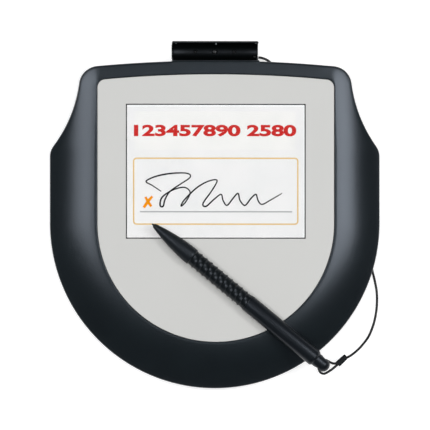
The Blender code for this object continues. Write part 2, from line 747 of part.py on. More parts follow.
def make_base_housing():
    obj = loft("base_housing", base_rings(), "housing_plastic", pad)
    for x in (-POST_X, POST_X):
        for y in (POST_FRONT_Y, POST_REAR_Y):
            rest = post(BOSS_RADIUS, FLOOR_TOP - OVERRUN / 2, SHIELD_UNDER - CLEARANCE, (x, y))
            boolean(obj, as_cutter(rest, pad), "UNION")
    for place in board_screw_places():
        boss = post(BOSS_RADIUS, FLOOR_TOP - OVERRUN / 2, FLOOR_TOP + BOARD_BOSS, place)
        boolean(obj, as_cutter(boss, pad), "UNION")
        bore = post(SCREW_RADIUS + CLEARANCE, FLOOR_TOP - BOARD_BOSS, BOARD_UNDER + OVERRUN, place)
        boolean(obj, as_cutter(bore, pad), "DIFFERENCE")
    for place in screw_places().values():
        hole = post(SCREW_RADIUS + CLEARANCE, BASE_UNDER - OVERRUN, FLOOR_TOP + OVERRUN, place)
        boolean(obj, as_cutter(hole, pad), "DIFFERENCE")
        seat_radius = SCREW_HEAD_RADIUS + CLEARANCE
        seat = post(seat_radius, BASE_UNDER - OVERRUN, BASE_UNDER + COUNTERBORE, place)
        boolean(obj, as_cutter(seat, pad), "DIFFERENCE")
    for place in foot_places().values():
        seat = post(FOOT_RADIUS + CLEARANCE, BASE_UNDER - OVERRUN, BASE_UNDER + FOOT_SEAT, place, 20)
        boolean(obj, as_cutter(seat, pad), "DIFFERENCE")
    bracket_seat = block(
        (
            2 * (BRACKET_HALF + CLEARANCE),
            TROUGH_Y + TROUGH_RADIUS - BRACKET_FRONT_Y + CLEARANCE,
            BRACKET_THICK + CLEARANCE + OVERRUN,
        ),
        (0, (TROUGH_Y + TROUGH_RADIUS + BRACKET_FRONT_Y - CLEARANCE) / 2, BASE_UNDER - OVERRUN),
    )
    boolean(obj, as_cutter(bracket_seat, pad), "DIFFERENCE")
    boolean(obj, trough_relief(), "DIFFERENCE")
    for x in (-BRACKET_SCREW_X, BRACKET_SCREW_X):
        hole = post(SCREW_RADIUS + CLEARANCE, BASE_UNDER, FLOOR_TOP + OVERRUN, (x, BRACKET_SCREW_Y))
        boolean(obj, as_cutter(hole, pad), "DIFFERENCE")
    return obj


def make_feet():
    top = BASE_UNDER + FOOT_SEAT - CLEARANCE
    profile = (
        (0, top),
        (FOOT_RADIUS, top),
        (FOOT_RADIUS, FOOT_EDGE),
        (FOOT_RADIUS - FOOT_EDGE, 0),
        (0, 0),
    )
    for name, (x, y) in foot_places().items():
        turned("foot_" + name, profile, "black_rubber", pad, (x, y, 0))


def screw_profile(radius, head_radius, head, length):
    """A pan head screw with its head's underside at zero and its shank along +Z."""
    return (
        (0, length),
        (radius, length),
        (radius, 0),
        (head_radius, 0),
        (head_radius, -head / 2),
        (head_radius / 2, -head),
        (0, -head),
    )


def board_screw_places():
    across = BOARD_WIDTH / 2 - BOARD_SCREW_FROM_EDGE
    front = BOARD_FRONT_Y + BOARD_SCREW_FROM_EDGE
    rear = BOARD_REAR_Y - BOARD_SCREW_FROM_REAR
    return [(x, y) for x in (-across, across) for y in (front, rear)]


def make_screws():
    housing = screw_profile(SCREW_RADIUS, SCREW_HEAD_RADIUS, SCREW_HEAD, HOUSING_SCREW_LENGTH)
    seat = BASE_UNDER + COUNTERBORE - CLEARANCE
    for name, (x, y) in screw_places().items():
        turned("housing_screw_" + name, housing, "steel", pad, (x, y, seat), steps=12)
    board = screw_profile(SCREW_RADIUS, SCREW_HEAD_RADIUS, SCREW_HEAD, BOARD_SCREW_LENGTH)
    for number, (x, y) in enumerate(board_screw_places(), 1):
        place = (x, y, BOARD_TOP + CLEARANCE)
        made = turned(f"board_screw_{number}", board, "steel", pad, place, steps=12)
        made.rotation_euler = (math.pi, 0, 0)
    bracket = screw_profile(SCREW_RADIUS, SCREW_HEAD_RADIUS, SCREW_HEAD, BRACKET_SCREW_LENGTH)
    for name, x in (("left", -BRACKET_SCREW_X), ("right", BRACKET_SCREW_X)):
        place = (x, BRACKET_SCREW_Y, BASE_UNDER - CLEARANCE)
        turned("bracket_screw_" + name, bracket, "black_steel", pad, place, steps=12)


def make_window():
    """The pale panel, the gasket and the glass that is written on."""
    cut = rectangle(GLASS_WIDTH + 2 * GLASS_GROOVE, GLASS_DEPTH + 2 * GLASS_GROOVE, WINDOW_Y)
    outline = both_halves(panel_half())
    flat("front_panel", [outline, cut], PANEL_UNDER, PANEL_TOP, "panel_grey", pad)
    rim = rectangle(CELL_WIDTH, CELL_DEPTH, WINDOW_Y)
    hole = rectangle(GLASS_WIDTH + 2 * CLEARANCE, GLASS_DEPTH + 2 * CLEARANCE, WINDOW_Y)
    flat("window_gasket", [rim, hole], GASKET_UNDER, DECK_TOP, "black_rubber", pad)
    glass = rectangle(GLASS_WIDTH, GLASS_DEPTH, WINDOW_Y)
    flat("writing_glass", [glass], GASKET_UNDER, PANEL_TOP, "window_glass", pad)


def make_display():
    """Display cell, light guide and metal tray, with the pen sensing board and its shield under them."""
    place = (0, WINDOW_Y)
    cell = block((CELL_WIDTH, CELL_DEPTH, CELL_THICK), (*place, CELL_UNDER))
    adopt(cell, "lcd_cell", "display_white", pad)
    guide = block((GUIDE_WIDTH, GUIDE_DEPTH, GUIDE_THICK), (*place, GUIDE_UNDER))
    adopt(guide, "light_guide", "light_guide_clear", pad)
    tray = block((FRAME_WIDTH, FRAME_DEPTH, FRAME_TOP - FRAME_UNDER), (*place, FRAME_UNDER))
    adopt(tray, "lcd_frame", "steel", pad)
    hollow = block(
        (GUIDE_WIDTH + 2 * CLEARANCE, GUIDE_DEPTH + 2 * CLEARANCE, FRAME_TOP - FRAME_FLOOR + OVERRUN),
        (*place, FRAME_FLOOR),
    )
    boolean(tray, as_cutter(hollow, pad), "DIFFERENCE")
    sensor = block((FRAME_WIDTH, FRAME_DEPTH, SENSOR_THICK), (*place, SENSOR_UNDER))
    adopt(sensor, "sensor_board", "circuit_green", pad)
    shield = block((FRAME_WIDTH, FRAME_DEPTH, SHIELD_THICK), (*place, SHIELD_UNDER))
    adopt(shield, "shield_plate", "steel", pad)


def on_board(across, back):
    """A place on the main board, by shares of its width from the middle and of its depth from the front."""
    return BOARD_WIDTH * across, BOARD_FRONT_Y + BOARD_DEPTH * back


def make_main_board():
    """The main board with its chips, connectors and data socket."""
    middle = (BOARD_REAR_Y + BOARD_FRONT_Y) / 2
    board = block((BOARD_WIDTH, BOARD_DEPTH, BOARD_THICK), (0, middle, BOARD_UNDER))
    adopt(board, "main_board", "circuit_green", pad)
    for place in board_screw_places():
        hole = post(SCREW_RADIUS + CLEARANCE, BOARD_UNDER - OVERRUN, BOARD_TOP + OVERRUN, place)
        boolean(board, as_cutter(hole, pad), "DIFFERENCE")
    seat = BOARD_TOP + SOLDER_GAP
    row = CHIP_ROW_SHARE
    chips = {
        "processor_chip": (PROCESSOR_SIZE, PROCESSOR_SIZE, 0, row),
        "memory_chip": (MEMORY_WIDTH, MEMORY_DEPTH, MEMORY_X_SHARE, row),
        "sensor_chip": (SENSOR_CHIP_SIZE, SENSOR_CHIP_SIZE, SENSOR_CHIP_X_SHARE, row),
        "crystal": (CRYSTAL_WIDTH, CRYSTAL_DEPTH, 0, CRYSTAL_ROW_SHARE),
    }
    for name, (width, deep, across, back) in chips.items():
        chip = block((width, deep, CHIP_THICK), (*on_board(across, back), seat))
        adopt(chip, name, "steel" if name == "crystal" else "chip_black", pad)
    coil_place = on_board(INDUCTOR_X_SHARE, INDUCTOR_ROW_SHARE)
    coil = post(INDUCTOR_RADIUS, seat, seat + CHIP_THICK, coil_place)
    adopt(coil, "inductor", "ferrite_grey", pad)
    display = block((CONNECTOR_WIDTH, CONNECTOR_DEPTH, CHIP_THICK), (0, CONNECTOR_Y, seat))
    adopt(display, "display_connector", "connector_cream", pad)
    width = SENSOR_CONNECTOR_WIDTH
    sensor = block((width, CONNECTOR_DEPTH, CHIP_THICK), (SENSOR_CONNECTOR_X, CONNECTOR_Y, seat))
    adopt(sensor, "sensor_connector", "connector_cream", pad)


def make_ribbon(name, x, width, start_height):
    """A ribbon cable that leaves the display stack's rear edge and drops onto its connector."""
    start_y = SHIELD_REAR_Y + CLEARANCE
    end = BOARD_TOP + SOLDER_GAP + CHIP_THICK + CLEARANCE + RIBBON_THICK / 2
    points = []
    for step in range(RIBBON_STEPS + 1):
        share = step / RIBBON_STEPS
        fall = (1 - math.cos(math.pi * share)) / 2
        points.append((start_y + (CONNECTOR_Y - start_y) * share, start_height + (end - start_height) * fall))
    mesh = bpy.data.meshes.new(name)
    verts = [(x + side * width / 2, y, z) for y, z in points for side in (-1, 1)]
    faces = [(2 * i, 2 * i + 1, 2 * i + 3, 2 * i + 2) for i in range(RIBBON_STEPS)]
    mesh.from_pydata(verts, [], faces)
    made = bpy.data.objects.new(name, mesh)
    parts.objects.link(made)
    thick = made.modifiers.new("ribbon", "SOLIDIFY")
    thick.thickness = RIBBON_THICK
    thick.offset = 0
    return adopt(made, name, "ribbon_amber", pad)


def make_socket():
    """The data socket: a pressed shell, open to the rear, with its contact tongue inside."""
    low = BOARD_TOP + SOLDER_GAP
    middle = SOCKET_MOUTH_Y - SOCKET_DEPTH / 2
    shell = block((SOCKET_WIDTH, SOCKET_DEPTH, SOCKET_HEIGHT), (SOCKET_X, middle, low))
    adopt(shell, "data_socket", "steel", pad)
    round_long_edges(shell, SOCKET_CORNER)
    hollow = block(
        (SOCKET_WIDTH - 2 * SOCKET_WALL, SOCKET_DEPTH + OVERRUN, SOCKET_HEIGHT - 2 * SOCKET_WALL),
        (SOCKET_X, middle + SOCKET_WALL + OVERRUN / 2, low + SOCKET_WALL),
    )
    round_long_edges(hollow, SOCKET_CORNER - SOCKET_WALL)
    boolean(shell, as_cutter(hollow, pad), "DIFFERENCE")
    rear = SOCKET_MOUTH_Y - SOCKET_DEPTH + SOCKET_WALL + CLEARANCE
    length = SOCKET_DEPTH - SOCKET_WALL - CLEARANCE - TONGUE_SHORT
    middle_height = low + SOCKET_HEIGHT / 2
    width = SOCKET_WIDTH - 2 * (SOCKET_WALL + TONGUE_BESIDE)
    tongue = block(
        (width, length, TONGUE_THICK),
        (SOCKET_X, rear + length / 2, middle_height - TONGUE_THICK / 2),
    )
    adopt(tongue, "socket_tongue", "chip_black", pad)
    base_height = SOCKET_HEIGHT - 2 * (SOCKET_WALL + CLEARANCE)
    base = block(
        (width, TONGUE_BASE, base_height),
        (SOCKET_X, rear + TONGUE_BASE / 2, middle_height - base_height / 2),
    )
    boolean(tongue, as_cutter(base, pad), "UNION")


def round_long_edges(obj, radius):
    """Rounds the four edges of a block that run along Y, in its mesh."""
    work = bmesh.new()
    work.from_mesh(obj.data)
    runs = [e for e in work.edges if abs((e.verts[0].co - e.verts[1].co).normalized().y) > 0.99]
    bmesh.ops.bevel(work, geom=runs, offset=radius, segments=3, profile=0.5, affect="EDGES")
    work.to_mesh(obj.data)
    work.free()


def trough_outline():
    """The trough's section, open on top and flat-footed, as points across and up from its axis."""
    foot_angle = math.acos(TROUGH_FOOT_HALF / TROUGH_RADIUS)
    drop = TROUGH_UNDER - TROUGH_HEIGHT
    points = []
    for step in range(TROUGH_STEPS + 1):
        angle = TROUGH_LIP - (TROUGH_LIP + foot_angle) * step / TROUGH_STEPS
        points.append((TROUGH_RADIUS * math.cos(angle), TROUGH_RADIUS * math.sin(angle)))
    points.append((TROUGH_FOOT_HALF, drop))
    points += [(-y, z) for y, z in reversed(points)]
    turn = math.pi + 2 * TROUGH_LIP
    for step in range(2 * TROUGH_STEPS + 1):
        angle = math.pi - TROUGH_LIP + turn * step / (2 * TROUGH_STEPS)
        points.append((TROUGH_INSIDE * math.cos(angle), TROUGH_INSIDE * math.sin(angle)))
    return points


def make_holder():
    """The stylus trough on its bracket, with its screw, its locating pins and the tether's gland."""
    half = TROUGH_LENGTH / 2
    curve = flat("pen_holder", [trough_outline()], -half, half, "black_plastic", pad)
    curve.location = (0, TROUGH_Y, TROUGH_HEIGHT)
    curve.rotation_euler = (QUARTER, 0, QUARTER)
    holder = as_mesh(curve)
    bevel(holder, TROUGH_EDGE, 1)
    centre = (0, TROUGH_Y)
    neck = post(HOLDER_SCREW_RADIUS + CLEARANCE, TROUGH_UNDER - OVERRUN, TROUGH_HEIGHT, centre, 12)
    boolean(holder, as_cutter(neck, pad), "DIFFERENCE")
    head_low = TROUGH_FLOOR - HOLDER_SCREW_SUNK - HOLDER_SCREW_HEAD
    head_radius = HOLDER_SCREW_HEAD_RADIUS + CLEARANCE
    seat = post(head_radius, head_low - CLEARANCE, TROUGH_HEIGHT, centre)
    boolean(holder, as_cutter(seat, pad), "DIFFERENCE")
    for x in (-PIN_X, PIN_X):
        hole = post(PIN_RADIUS + CLEARANCE, TROUGH_UNDER - OVERRUN, TROUGH_HEIGHT, (x, TROUGH_Y), 12)
        boolean(holder, as_cutter(hole, pad), "DIFFERENCE")
    boolean(holder, gland_bore(), "DIFFERENCE")

    rear = TROUGH_Y + TROUGH_FOOT_HALF
    plate = block(
        (2 * BRACKET_HALF, rear - BRACKET_FRONT_Y, BRACKET_THICK),
        (0, (rear + BRACKET_FRONT_Y) / 2, BASE_UNDER),
    )
    adopt(plate, "holder_bracket", "black_steel", pad)
    for x in (-PIN_X, PIN_X):
        pin_low = BRACKET_TOP - BRACKET_THICK / 2
        pin = post(PIN_RADIUS, pin_low, TROUGH_FLOOR - CLEARANCE, (x, TROUGH_Y), 12)
        boolean(plate, as_cutter(pin, pad), "UNION")
    tapped = post(HOLDER_SCREW_RADIUS + CLEARANCE, BASE_UNDER - OVERRUN, BRACKET_TOP + OVERRUN, centre, 12)
    boolean(plate, as_cutter(tapped, pad), "DIFFERENCE")
    for x in (-BRACKET_SCREW_X, BRACKET_SCREW_X):
        place = (x, BRACKET_SCREW_Y)
        hole = post(SCREW_RADIUS + CLEARANCE, BASE_UNDER - OVERRUN, BRACKET_TOP + OVERRUN, place)
        boolean(plate, as_cutter(hole, pad), "DIFFERENCE")

    length = head_low - BASE_UNDER - CLEARANCE
    profile = screw_profile(HOLDER_SCREW_RADIUS, HOLDER_SCREW_HEAD_RADIUS, HOLDER_SCREW_HEAD, length)
    screw = turned("holder_screw", profile, "steel", pad, (*centre, head_low), steps=16)
    screw.rotation_euler = (math.pi, 0, 0)

    end = half - GLAND_LENGTH / 2
    profile = (
        (0, GLAND_LENGTH / 2),
        (GLAND_RADIUS, GLAND_LENGTH / 2),
        (GLAND_RADIUS, -GLAND_LENGTH / 2),
        (0, -GLAND_LENGTH / 2),
    )
    place = (end, TROUGH_Y - GLAND_FORWARD, GLAND_HEIGHT)
    gland = turned("tether_gland", profile, "black_rubber", pad, place, steps=12)
    gland.rotation_euler = (0, QUARTER, 0)


def gland_bore():
    """The blind hole for the gland in the trough's right end."""
    depth = GLAND_LENGTH + CLEARANCE + OVERRUN
    bpy.ops.mesh.primitive_cylinder_add(vertices=12, radius=GLAND_RADIUS + CLEARANCE, depth=depth)
    made = bpy.context.object
    start = TROUGH_LENGTH / 2 - GLAND_LENGTH - CLEARANCE
    made.location = (start + depth / 2, TROUGH_Y - GLAND_FORWARD, GLAND_HEIGHT)
    made.rotation_euler = (0, QUARTER, 0)
    return as_cutter(made, pad)


def nose_radius(along):
    """Radius of the stylus's pointed nose at a distance behind its mouth."""
    share = along / NOSE_LENGTH
    return NOSE_MOUTH_RADIUS + (NOSE_RADIUS - NOSE_MOUTH_RADIUS) * math.sin(QUARTER * share) ** NOSE_POWER


def make_nose():
    """The pointed nose, bored for the nib, the ferrite core and the barrel's spigot."""
    outer = []
    for step in range(NOSE_STEPS, -1, -1):
        along = NOSE_LENGTH * (step / NOSE_STEPS) ** 2
        outer.append((nose_radius(along), NOSE_START + along))
    spigot = NOSE_END - BARREL_SPIGOT
    core = FERRITE_RADIUS + COIL_THICK + CLEARANCE
    bore = (
        (NIB_RADIUS + CLEARANCE / 2, NOSE_START),
        (NIB_RADIUS + CLEARANCE / 2, FERRITE_START - CLEARANCE),
        (core, FERRITE_START - CLEARANCE),
        (core, spigot - CLEARANCE),
        (SPIGOT_RADIUS + CLEARANCE, spigot - CLEARANCE),
        (SPIGOT_RADIUS + CLEARANCE, NOSE_END),
    )
    turned("stylus_nose", (*outer, *bore), "black_plastic", stylus, STYLUS_BACK, hollow=True)


def grip_radius(along):
    """Radius of the ribbed grip at a distance behind its front end."""
    turn = 2 * math.pi * along * GRIP_RIBS / GRIP_LENGTH
    return GRIP_RADIUS - GRIP_RIB * (1 + math.cos(turn)) / 2


def make_grip():
    """The rubber grip sleeve with its row of round ribs."""
    front = NOSE_END + CLEARANCE
    length = GRIP_LENGTH - 2 * CLEARANCE
    steps = GRIP_RIBS * GRIP_RIB_STEPS
    outer = []
    for step in range(steps, -1, -1):
        share = step / steps
        outer.append((grip_radius(GRIP_LENGTH * share), front + length * share))
    bore = ((GRIP_BORE, front), (GRIP_BORE, front + length))
    turned("stylus_grip", (*outer, *bore), "black_rubber", stylus, STYLUS_BACK, hollow=True)


def make_barrel():
    """The barrel tube: a spigot into the nose, a core under the grip and the full rear body."""
    front = NOSE_END - BARREL_SPIGOT
    profile = (
        (BARREL_RADIUS - BARREL_EDGE, BARREL_END),
        (BARREL_RADIUS, BARREL_END - BARREL_EDGE),
        (BARREL_RADIUS, GRIP_END),
        (SPIGOT_RADIUS, GRIP_END),
        (SPIGOT_RADIUS, front),
        (BARREL_BORE, front),
        (BARREL_BORE, BARREL_END),
    )
    turned("stylus_barrel", profile, "black_plastic", stylus, STYLUS_BACK, hollow=True)


def make_cap():
    """The end cap: a plug in the barrel, a drawn-in neck, a round end and the eyelet across it."""
    front = BARREL_END + CLEARANCE
    plug = BARREL_BORE - CLEARANCE
    profile = []
    for step in range(CAP_DOME_STEPS + 1):
        angle = QUARTER * step / CAP_DOME_STEPS
        profile.append((CAP_RADIUS * math.sin(angle), CAP_END - CAP_RADIUS * (1 - math.cos(angle))))
    profile += [
        (CAP_RADIUS, front + NECK_LENGTH),
        ((CAP_RADIUS + BARREL_RADIUS) / 2, front + NECK_LENGTH / 4),
        (BARREL_RADIUS - BARREL_EDGE, front),
        (plug, front),
        (plug, front - CAP_PLUG),
        (0, front - CAP_PLUG),
    ]
    cap = turned("stylus_end_cap", profile, "black_plastic", stylus, STYLUS_BACK)
    bpy.ops.mesh.primitive_cylinder_add(vertices=16, radius=EYELET_RADIUS, depth=2 * BARREL_RADIUS)
    eyelet = bpy.context.object
    eyelet.rotation_euler = (QUARTER, 0, 0)
    boolean(cap, as_cutter(eyelet, stylus), "DIFFERENCE")


def make_stylus_inside():
    """The moving nib, the ferrite core with its coil, the pressure pad and the stylus's small board."""
    back = NIB_LENGTH
    nib = (
        (0, back),
        (NIB_RADIUS, back),
        (NIB_RADIUS, NIB_TAPER),
        (NIB_TIP_RADIUS, NIB_TIP_RADIUS / 2),
        (NIB_TIP_RADIUS / 2, 0),
        (0, 0),
    )
    turned("nib", nib, "black_plastic", stylus, STYLUS_BACK, steps=12)
    inner = NIB_RADIUS + CLEARANCE / 2
    ferrite = (
        (FERRITE_RADIUS, FERRITE_END),
        (FERRITE_RADIUS, FERRITE_START),
        (inner, FERRITE_START),
        (inner, FERRITE_END),
    )
    turned("ferrite_core", ferrite, "ferrite_grey", stylus, STYLUS_BACK, hollow=True)
    coil_inner = FERRITE_RADIUS + CLEARANCE / 2
    coil_outer = FERRITE_RADIUS + COIL_THICK
    coil = (
        (coil_outer, FERRITE_END - COIL_MARGIN),
        (coil_outer, FERRITE_START + COIL_MARGIN),
        (coil_inner, FERRITE_START + COIL_MARGIN),
        (coil_inner, FERRITE_END - COIL_MARGIN),
    )
    turned("antenna_coil", coil, "copper", stylus, STYLUS_BACK, hollow=True)
    pad_start = NIB_LENGTH + NIB_TRAVEL + CLEARANCE
    pressure = (
        (0, pad_start + PAD_LENGTH),
        (BARREL_BORE - PAD_BESIDE, pad_start + PAD_LENGTH),
        (BARREL_BORE - PAD_BESIDE, pad_start),
        (0, pad_start),
    )
    turned("pressure_pad", pressure, "black_rubber", stylus, STYLUS_BACK)
    board_start = pad_start + PAD_LENGTH + CLEARANCE
    width = 2 * (BARREL_BORE - PAD_BESIDE)
    size = (PEN_BOARD_THICK, width, PEN_BOARD_LENGTH)
    board = block(size, (0, 0, board_start - EYELET_FROM_TIP))
    adopt(board, "stylus_board", "circuit_green", stylus)


def smooth_route(points, spacing):
    """Evenly spaced points along the smooth curve that passes through the given ones."""
    knots = [Vector(p) for p in points]
    ends = [2 * knots[0] - knots[1], *knots, 2 * knots[-1] - knots[-2]]
    fine = []
    for before, start, end, after in zip(ends, ends[1:], ends[2:], ends[3:]):
        for step in range(CURVE_STEPS):
            t = step / CURVE_STEPS
            fine.append(
                0.5
                * (
                    2 * start
                    + (end - before) * t
                    + (2 * before - 5 * start + 4 * end - after) * t * t
                    + (3 * start - before - 3 * end + after) * t * t * t
                )
            )
    fine.append(knots[-1])
    lengths = [0]
    for first, second in zip(fine, fine[1:]):
        lengths.append(lengths[-1] + (second - first).length)
    count = max(2, round(lengths[-1] / spacing))
    even = []
    at = 0
    for step in range(count):
        target = lengths[-1] * step / count
        while lengths[at + 1] < target:
            at += 1
        share = (target - lengths[at]) / (lengths[at + 1] - lengths[at])
        even.append(fine[at].lerp(fine[at + 1], share))
    even.append(fine[-1])
    return even, lengths[-1]


def tube(name, points, radius, finish, parent):
    data = bpy.data.curves.new(name, "CURVE")
    data.dimensions = "3D"
    data.bevel_depth = radius
    data.bevel_resolution = CORD_SIDES
    data.use_fill_caps = True
    spline = data.splines.new("POLY")
    spline.points.add(len(points) - 1)
    for point, place in zip(spline.points, points):
        point.co = (*place, 1)
    made = bpy.data.objects.new(name, data)
    parts.objects.link(made)
    return adopt(made, name, finish, parent)


def from_eyelet(point):
    """A point given along, across and up from the eyelet, in the object's frame."""
    return EYELET_PLACE + ALONG * point[0] + ACROSS * point[1] + Vector((0, 0, point[2]))


def make_tether():
    """The free cord, the loop through the eyelet and the crimp sleeve that joins them."""
    cord, length = smooth_route(TETHER_ROUTE, CORD_SPACING)
    tube("tether", cord, CORD_RADIUS, "cord_black", None)
    print(f"tether length {length:.4f} m, {len(cord)} points")
    loop, length = smooth_route([from_eyelet(p) for p in LOOP_ROUTE], LOOP_SPACING)
    tube("tether_loop", loop, CORD_RADIUS, "cord_black", None)
    print(f"loop length {length:.4f} m, {len(loop)} points")
    start = from_eyelet(SLEEVE_START)
    along = (from_eyelet(SLEEVE_ALONG) - EYELET_PLACE).normalized()
    sleeve = block((SLEEVE_WIDTH, SLEEVE_THICK, SLEEVE_LENGTH), start, SLEEVE_EDGE)
    sleeve.rotation_euler = along.to_track_quat("Z", "Y").to_euler()
    adopt(sleeve, "crimp_sleeve", "black_plastic", None)
    end = start + along * (SLEEVE_LENGTH + CLEARANCE)
    print("sleeve's far end", [round(c, 5) for c in end])


clear_scene()
parts = collection("signature_pad")
cutters = collection("cutters")
pad = empty("pad_frame", (0, PAD_Y, 0))
stylus = empty("stylus_hinge", EYELET_PLACE, (0, QUARTER, STYLUS_HEADING))

make_top_housing()
make_base_housing()
make_feet()
make_screws()
make_window()
make_display()
make_main_board()
make_ribbon("display_ribbon", 0, CONNECTOR_WIDTH - RIBBON_MARGIN, GUIDE_TOP)
make_ribbon("sensor_ribbon", SENSOR_CONNECTOR_X, SENSOR_CONNECTOR_WIDTH - RIBBON_MARGIN, SENSOR_TOP)
make_socket()
make_holder()
make_nose()
make_grip()
make_barrel()
make_cap()
make_stylus_inside()
make_tether()
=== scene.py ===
# %% [markdown]
# # A counter signature pad with its stylus on a tether
#
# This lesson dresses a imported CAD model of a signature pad. The CAD already holds every solid at its
# place and moves on its joints. Here each part that can be seen is modelled once more with finer
# edges, and every part is given the look of the material that it is really made of.
#
# The pad is a shallow dark housing with a half round palm rest. A pale panel is let into its crown,
# and a glass in the panel covers a lit display. A trough behind the top edge takes the stylus, which
# is tied to it by a thin black cord.

# %% Load the frame
import math

import bmesh
import bpy
from mathutils import Matrix, Vector


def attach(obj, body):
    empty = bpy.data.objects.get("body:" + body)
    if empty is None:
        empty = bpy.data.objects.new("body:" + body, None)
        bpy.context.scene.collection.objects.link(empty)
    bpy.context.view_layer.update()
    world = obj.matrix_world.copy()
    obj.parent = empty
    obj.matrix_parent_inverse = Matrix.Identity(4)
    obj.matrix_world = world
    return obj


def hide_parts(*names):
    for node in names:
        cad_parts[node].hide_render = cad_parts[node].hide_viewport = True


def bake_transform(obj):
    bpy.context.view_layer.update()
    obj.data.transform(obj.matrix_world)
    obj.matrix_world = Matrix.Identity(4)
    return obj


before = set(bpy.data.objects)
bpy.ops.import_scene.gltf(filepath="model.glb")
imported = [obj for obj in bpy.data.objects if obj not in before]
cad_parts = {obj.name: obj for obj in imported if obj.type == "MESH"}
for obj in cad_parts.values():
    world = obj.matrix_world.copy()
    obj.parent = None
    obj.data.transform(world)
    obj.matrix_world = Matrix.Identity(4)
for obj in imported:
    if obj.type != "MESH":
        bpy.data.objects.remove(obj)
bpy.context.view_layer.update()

# %% [markdown]
# ## Camera
#
# The photograph looks almost straight down on the pad from far away. The bezel shows a little wider
# on the left and at the palm, so the camera leans a little that way. A long lens gives the
# flat view. The lens is worked out from the width of the picture at the height of the panel, because
# that is where the photograph was measured.

# %% Camera over the panel
CAMERA_DISTANCE = 8.0
PANEL_TOP = 0.0177
PICTURE_WIDTH = 0.2451
SENSOR_WIDTH = 36
PICTURE_CENTRE = (-0.00048, -0.00026)
LEAN_LEFT = math.radians(2.8)
LEAN_DOWN = math.radians(0.85)

towards = Vector((-math.tan(LEAN_LEFT), -math.tan(LEAN_DOWN), 1)).normalized()
bpy.ops.object.camera_add(
    location=Vector((*PICTURE_CENTRE, PANEL_TOP)) + towards * CAMERA_DISTANCE,
    rotation=(LEAN_DOWN, -LEAN_LEFT, 0),
)
camera = bpy.context.object
camera.name = "camera"
camera.data.sensor_width = SENSOR_WIDTH
camera.data.lens = SENSOR_WIDTH * CAMERA_DISTANCE / PICTURE_WIDTH
bpy.context.scene.camera = camera
bpy.context.scene.view_settings.view_transform = "Standard"
print(f"lens {camera.data.lens:.0f} mm")

# %% [markdown]
# ## Tools for modelling
#
# Most pieces here grow from a circle. Its vertices are laid on the first outline, and the ring is
# extruded from outline to outline, as one would extrude and scale an edge loop by hand. A ring that
# comes back to its start makes a hollow piece, and open ends are filled.

# %% Selecting and finishing a piece
WELD = 0.000001
EVENLY_SMOOTH = math.radians(35)
FACING = 0.9


def only(obj=None):
    """Leaves edit mode and deselects everything, then selects one object if it is given."""
    if bpy.context.object and bpy.context.object.mode != "OBJECT":
        bpy.ops.object.mode_set(mode="OBJECT")
    bpy.ops.object.select_all(action="DESELECT")
    if obj:
        obj.select_set(True)
        bpy.context.view_layer.objects.active = obj
    return obj


def done(name, finish, body="root", smooth=EVENLY_SMOOTH):
    """Names the active piece, applies its place, gives it its finish and lets it ride on its body.

    A piece that has the name of a CAD node takes that node's place.
    """
    piece = only(bpy.context.object)
    piece.name = name
    bpy.ops.object.transform_apply(location=True, rotation=True, scale=True)
    bpy.ops.object.shade_smooth_by_angle(angle=smooth)
    piece.data.materials.clear()
    piece.data.materials.append(finish)
    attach(piece, body)
    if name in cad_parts:
        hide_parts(name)
    print(f"{name}: {len(piece.data.polygons)} faces")
    return piece


def edit(pick=None, kind="FACE"):
    """Opens the active object in edit mode, with all selected, or only what pick accepts."""
    bpy.ops.object.mode_set(mode="EDIT")
    bpy.ops.mesh.select_mode(type=kind)
    bpy.ops.mesh.select_all(action="DESELECT" if pick else "SELECT")
    if pick:
        work = bmesh.from_edit_mesh(bpy.context.object.data)
        for part in work.faces if kind == "FACE" else work.edges:
            part.select_set(pick(part))
        bmesh.update_edit_mesh(bpy.context.object.data)


def round_edges_along(axis, radius, segments):
    """Rounds the edges of the active block that run along one axis."""
    edit(lambda edge: abs((edge.verts[0].co - edge.verts[1].co).normalized()[axis]) > FACING, "EDGE")
    bpy.ops.mesh.bevel(offset=radius, segments=segments, affect="EDGES")
    bpy.ops.object.mode_set(mode="OBJECT")


# %% Extruding a ring through outlines
def through(rings, joined=False):
    """A closed piece through rings of points. A joined one comes back to its first ring."""
    only()
    bpy.ops.mesh.primitive_circle_add(vertices=len(rings[0]), radius=0.01)
    shape = bpy.context.object
    bpy.ops.object.mode_set(mode="EDIT")
    bpy.ops.mesh.select_mode(type="EDGE")
    row = list(range(len(rings[0])))
    for count, ring in enumerate([*rings, rings[0]] if joined else rings):
        if count:
            bpy.ops.mesh.extrude_region()
        work = bmesh.from_edit_mesh(shape.data)
        work.verts.ensure_lookup_table()
        work.verts.index_update()
        if count:
            row = [grown_from(work.verts[index]) for index in row]
        for index, point in zip(row, ring):
            work.verts[index].co = point
        bmesh.update_edit_mesh(shape.data)
    bpy.ops.mesh.select_all(action="SELECT")
    if joined:
        bpy.ops.mesh.remove_doubles(threshold=WELD)
    else:
        bpy.ops.mesh.fill_holes(sides=0)
    bpy.ops.mesh.normals_make_consistent(inside=False)
    return only(shape)


def grown_from(vert):
    """The index of the vertex that an extrusion has just grown from this one."""
    return next(e.other_vert(vert).index for e in vert.link_edges if e.other_vert(vert).select)


def turned(profile, steps=32, joined=False):
    """A round piece about Z, through rings given as (radius, height)."""
    turns = [math.tau * step / steps for step in range(steps)]
    rings = [
        [(radius * math.cos(turn), radius * math.sin(turn), height) for turn in turns]
        for radius, height in profile
    ]
    return through(rings, joined)


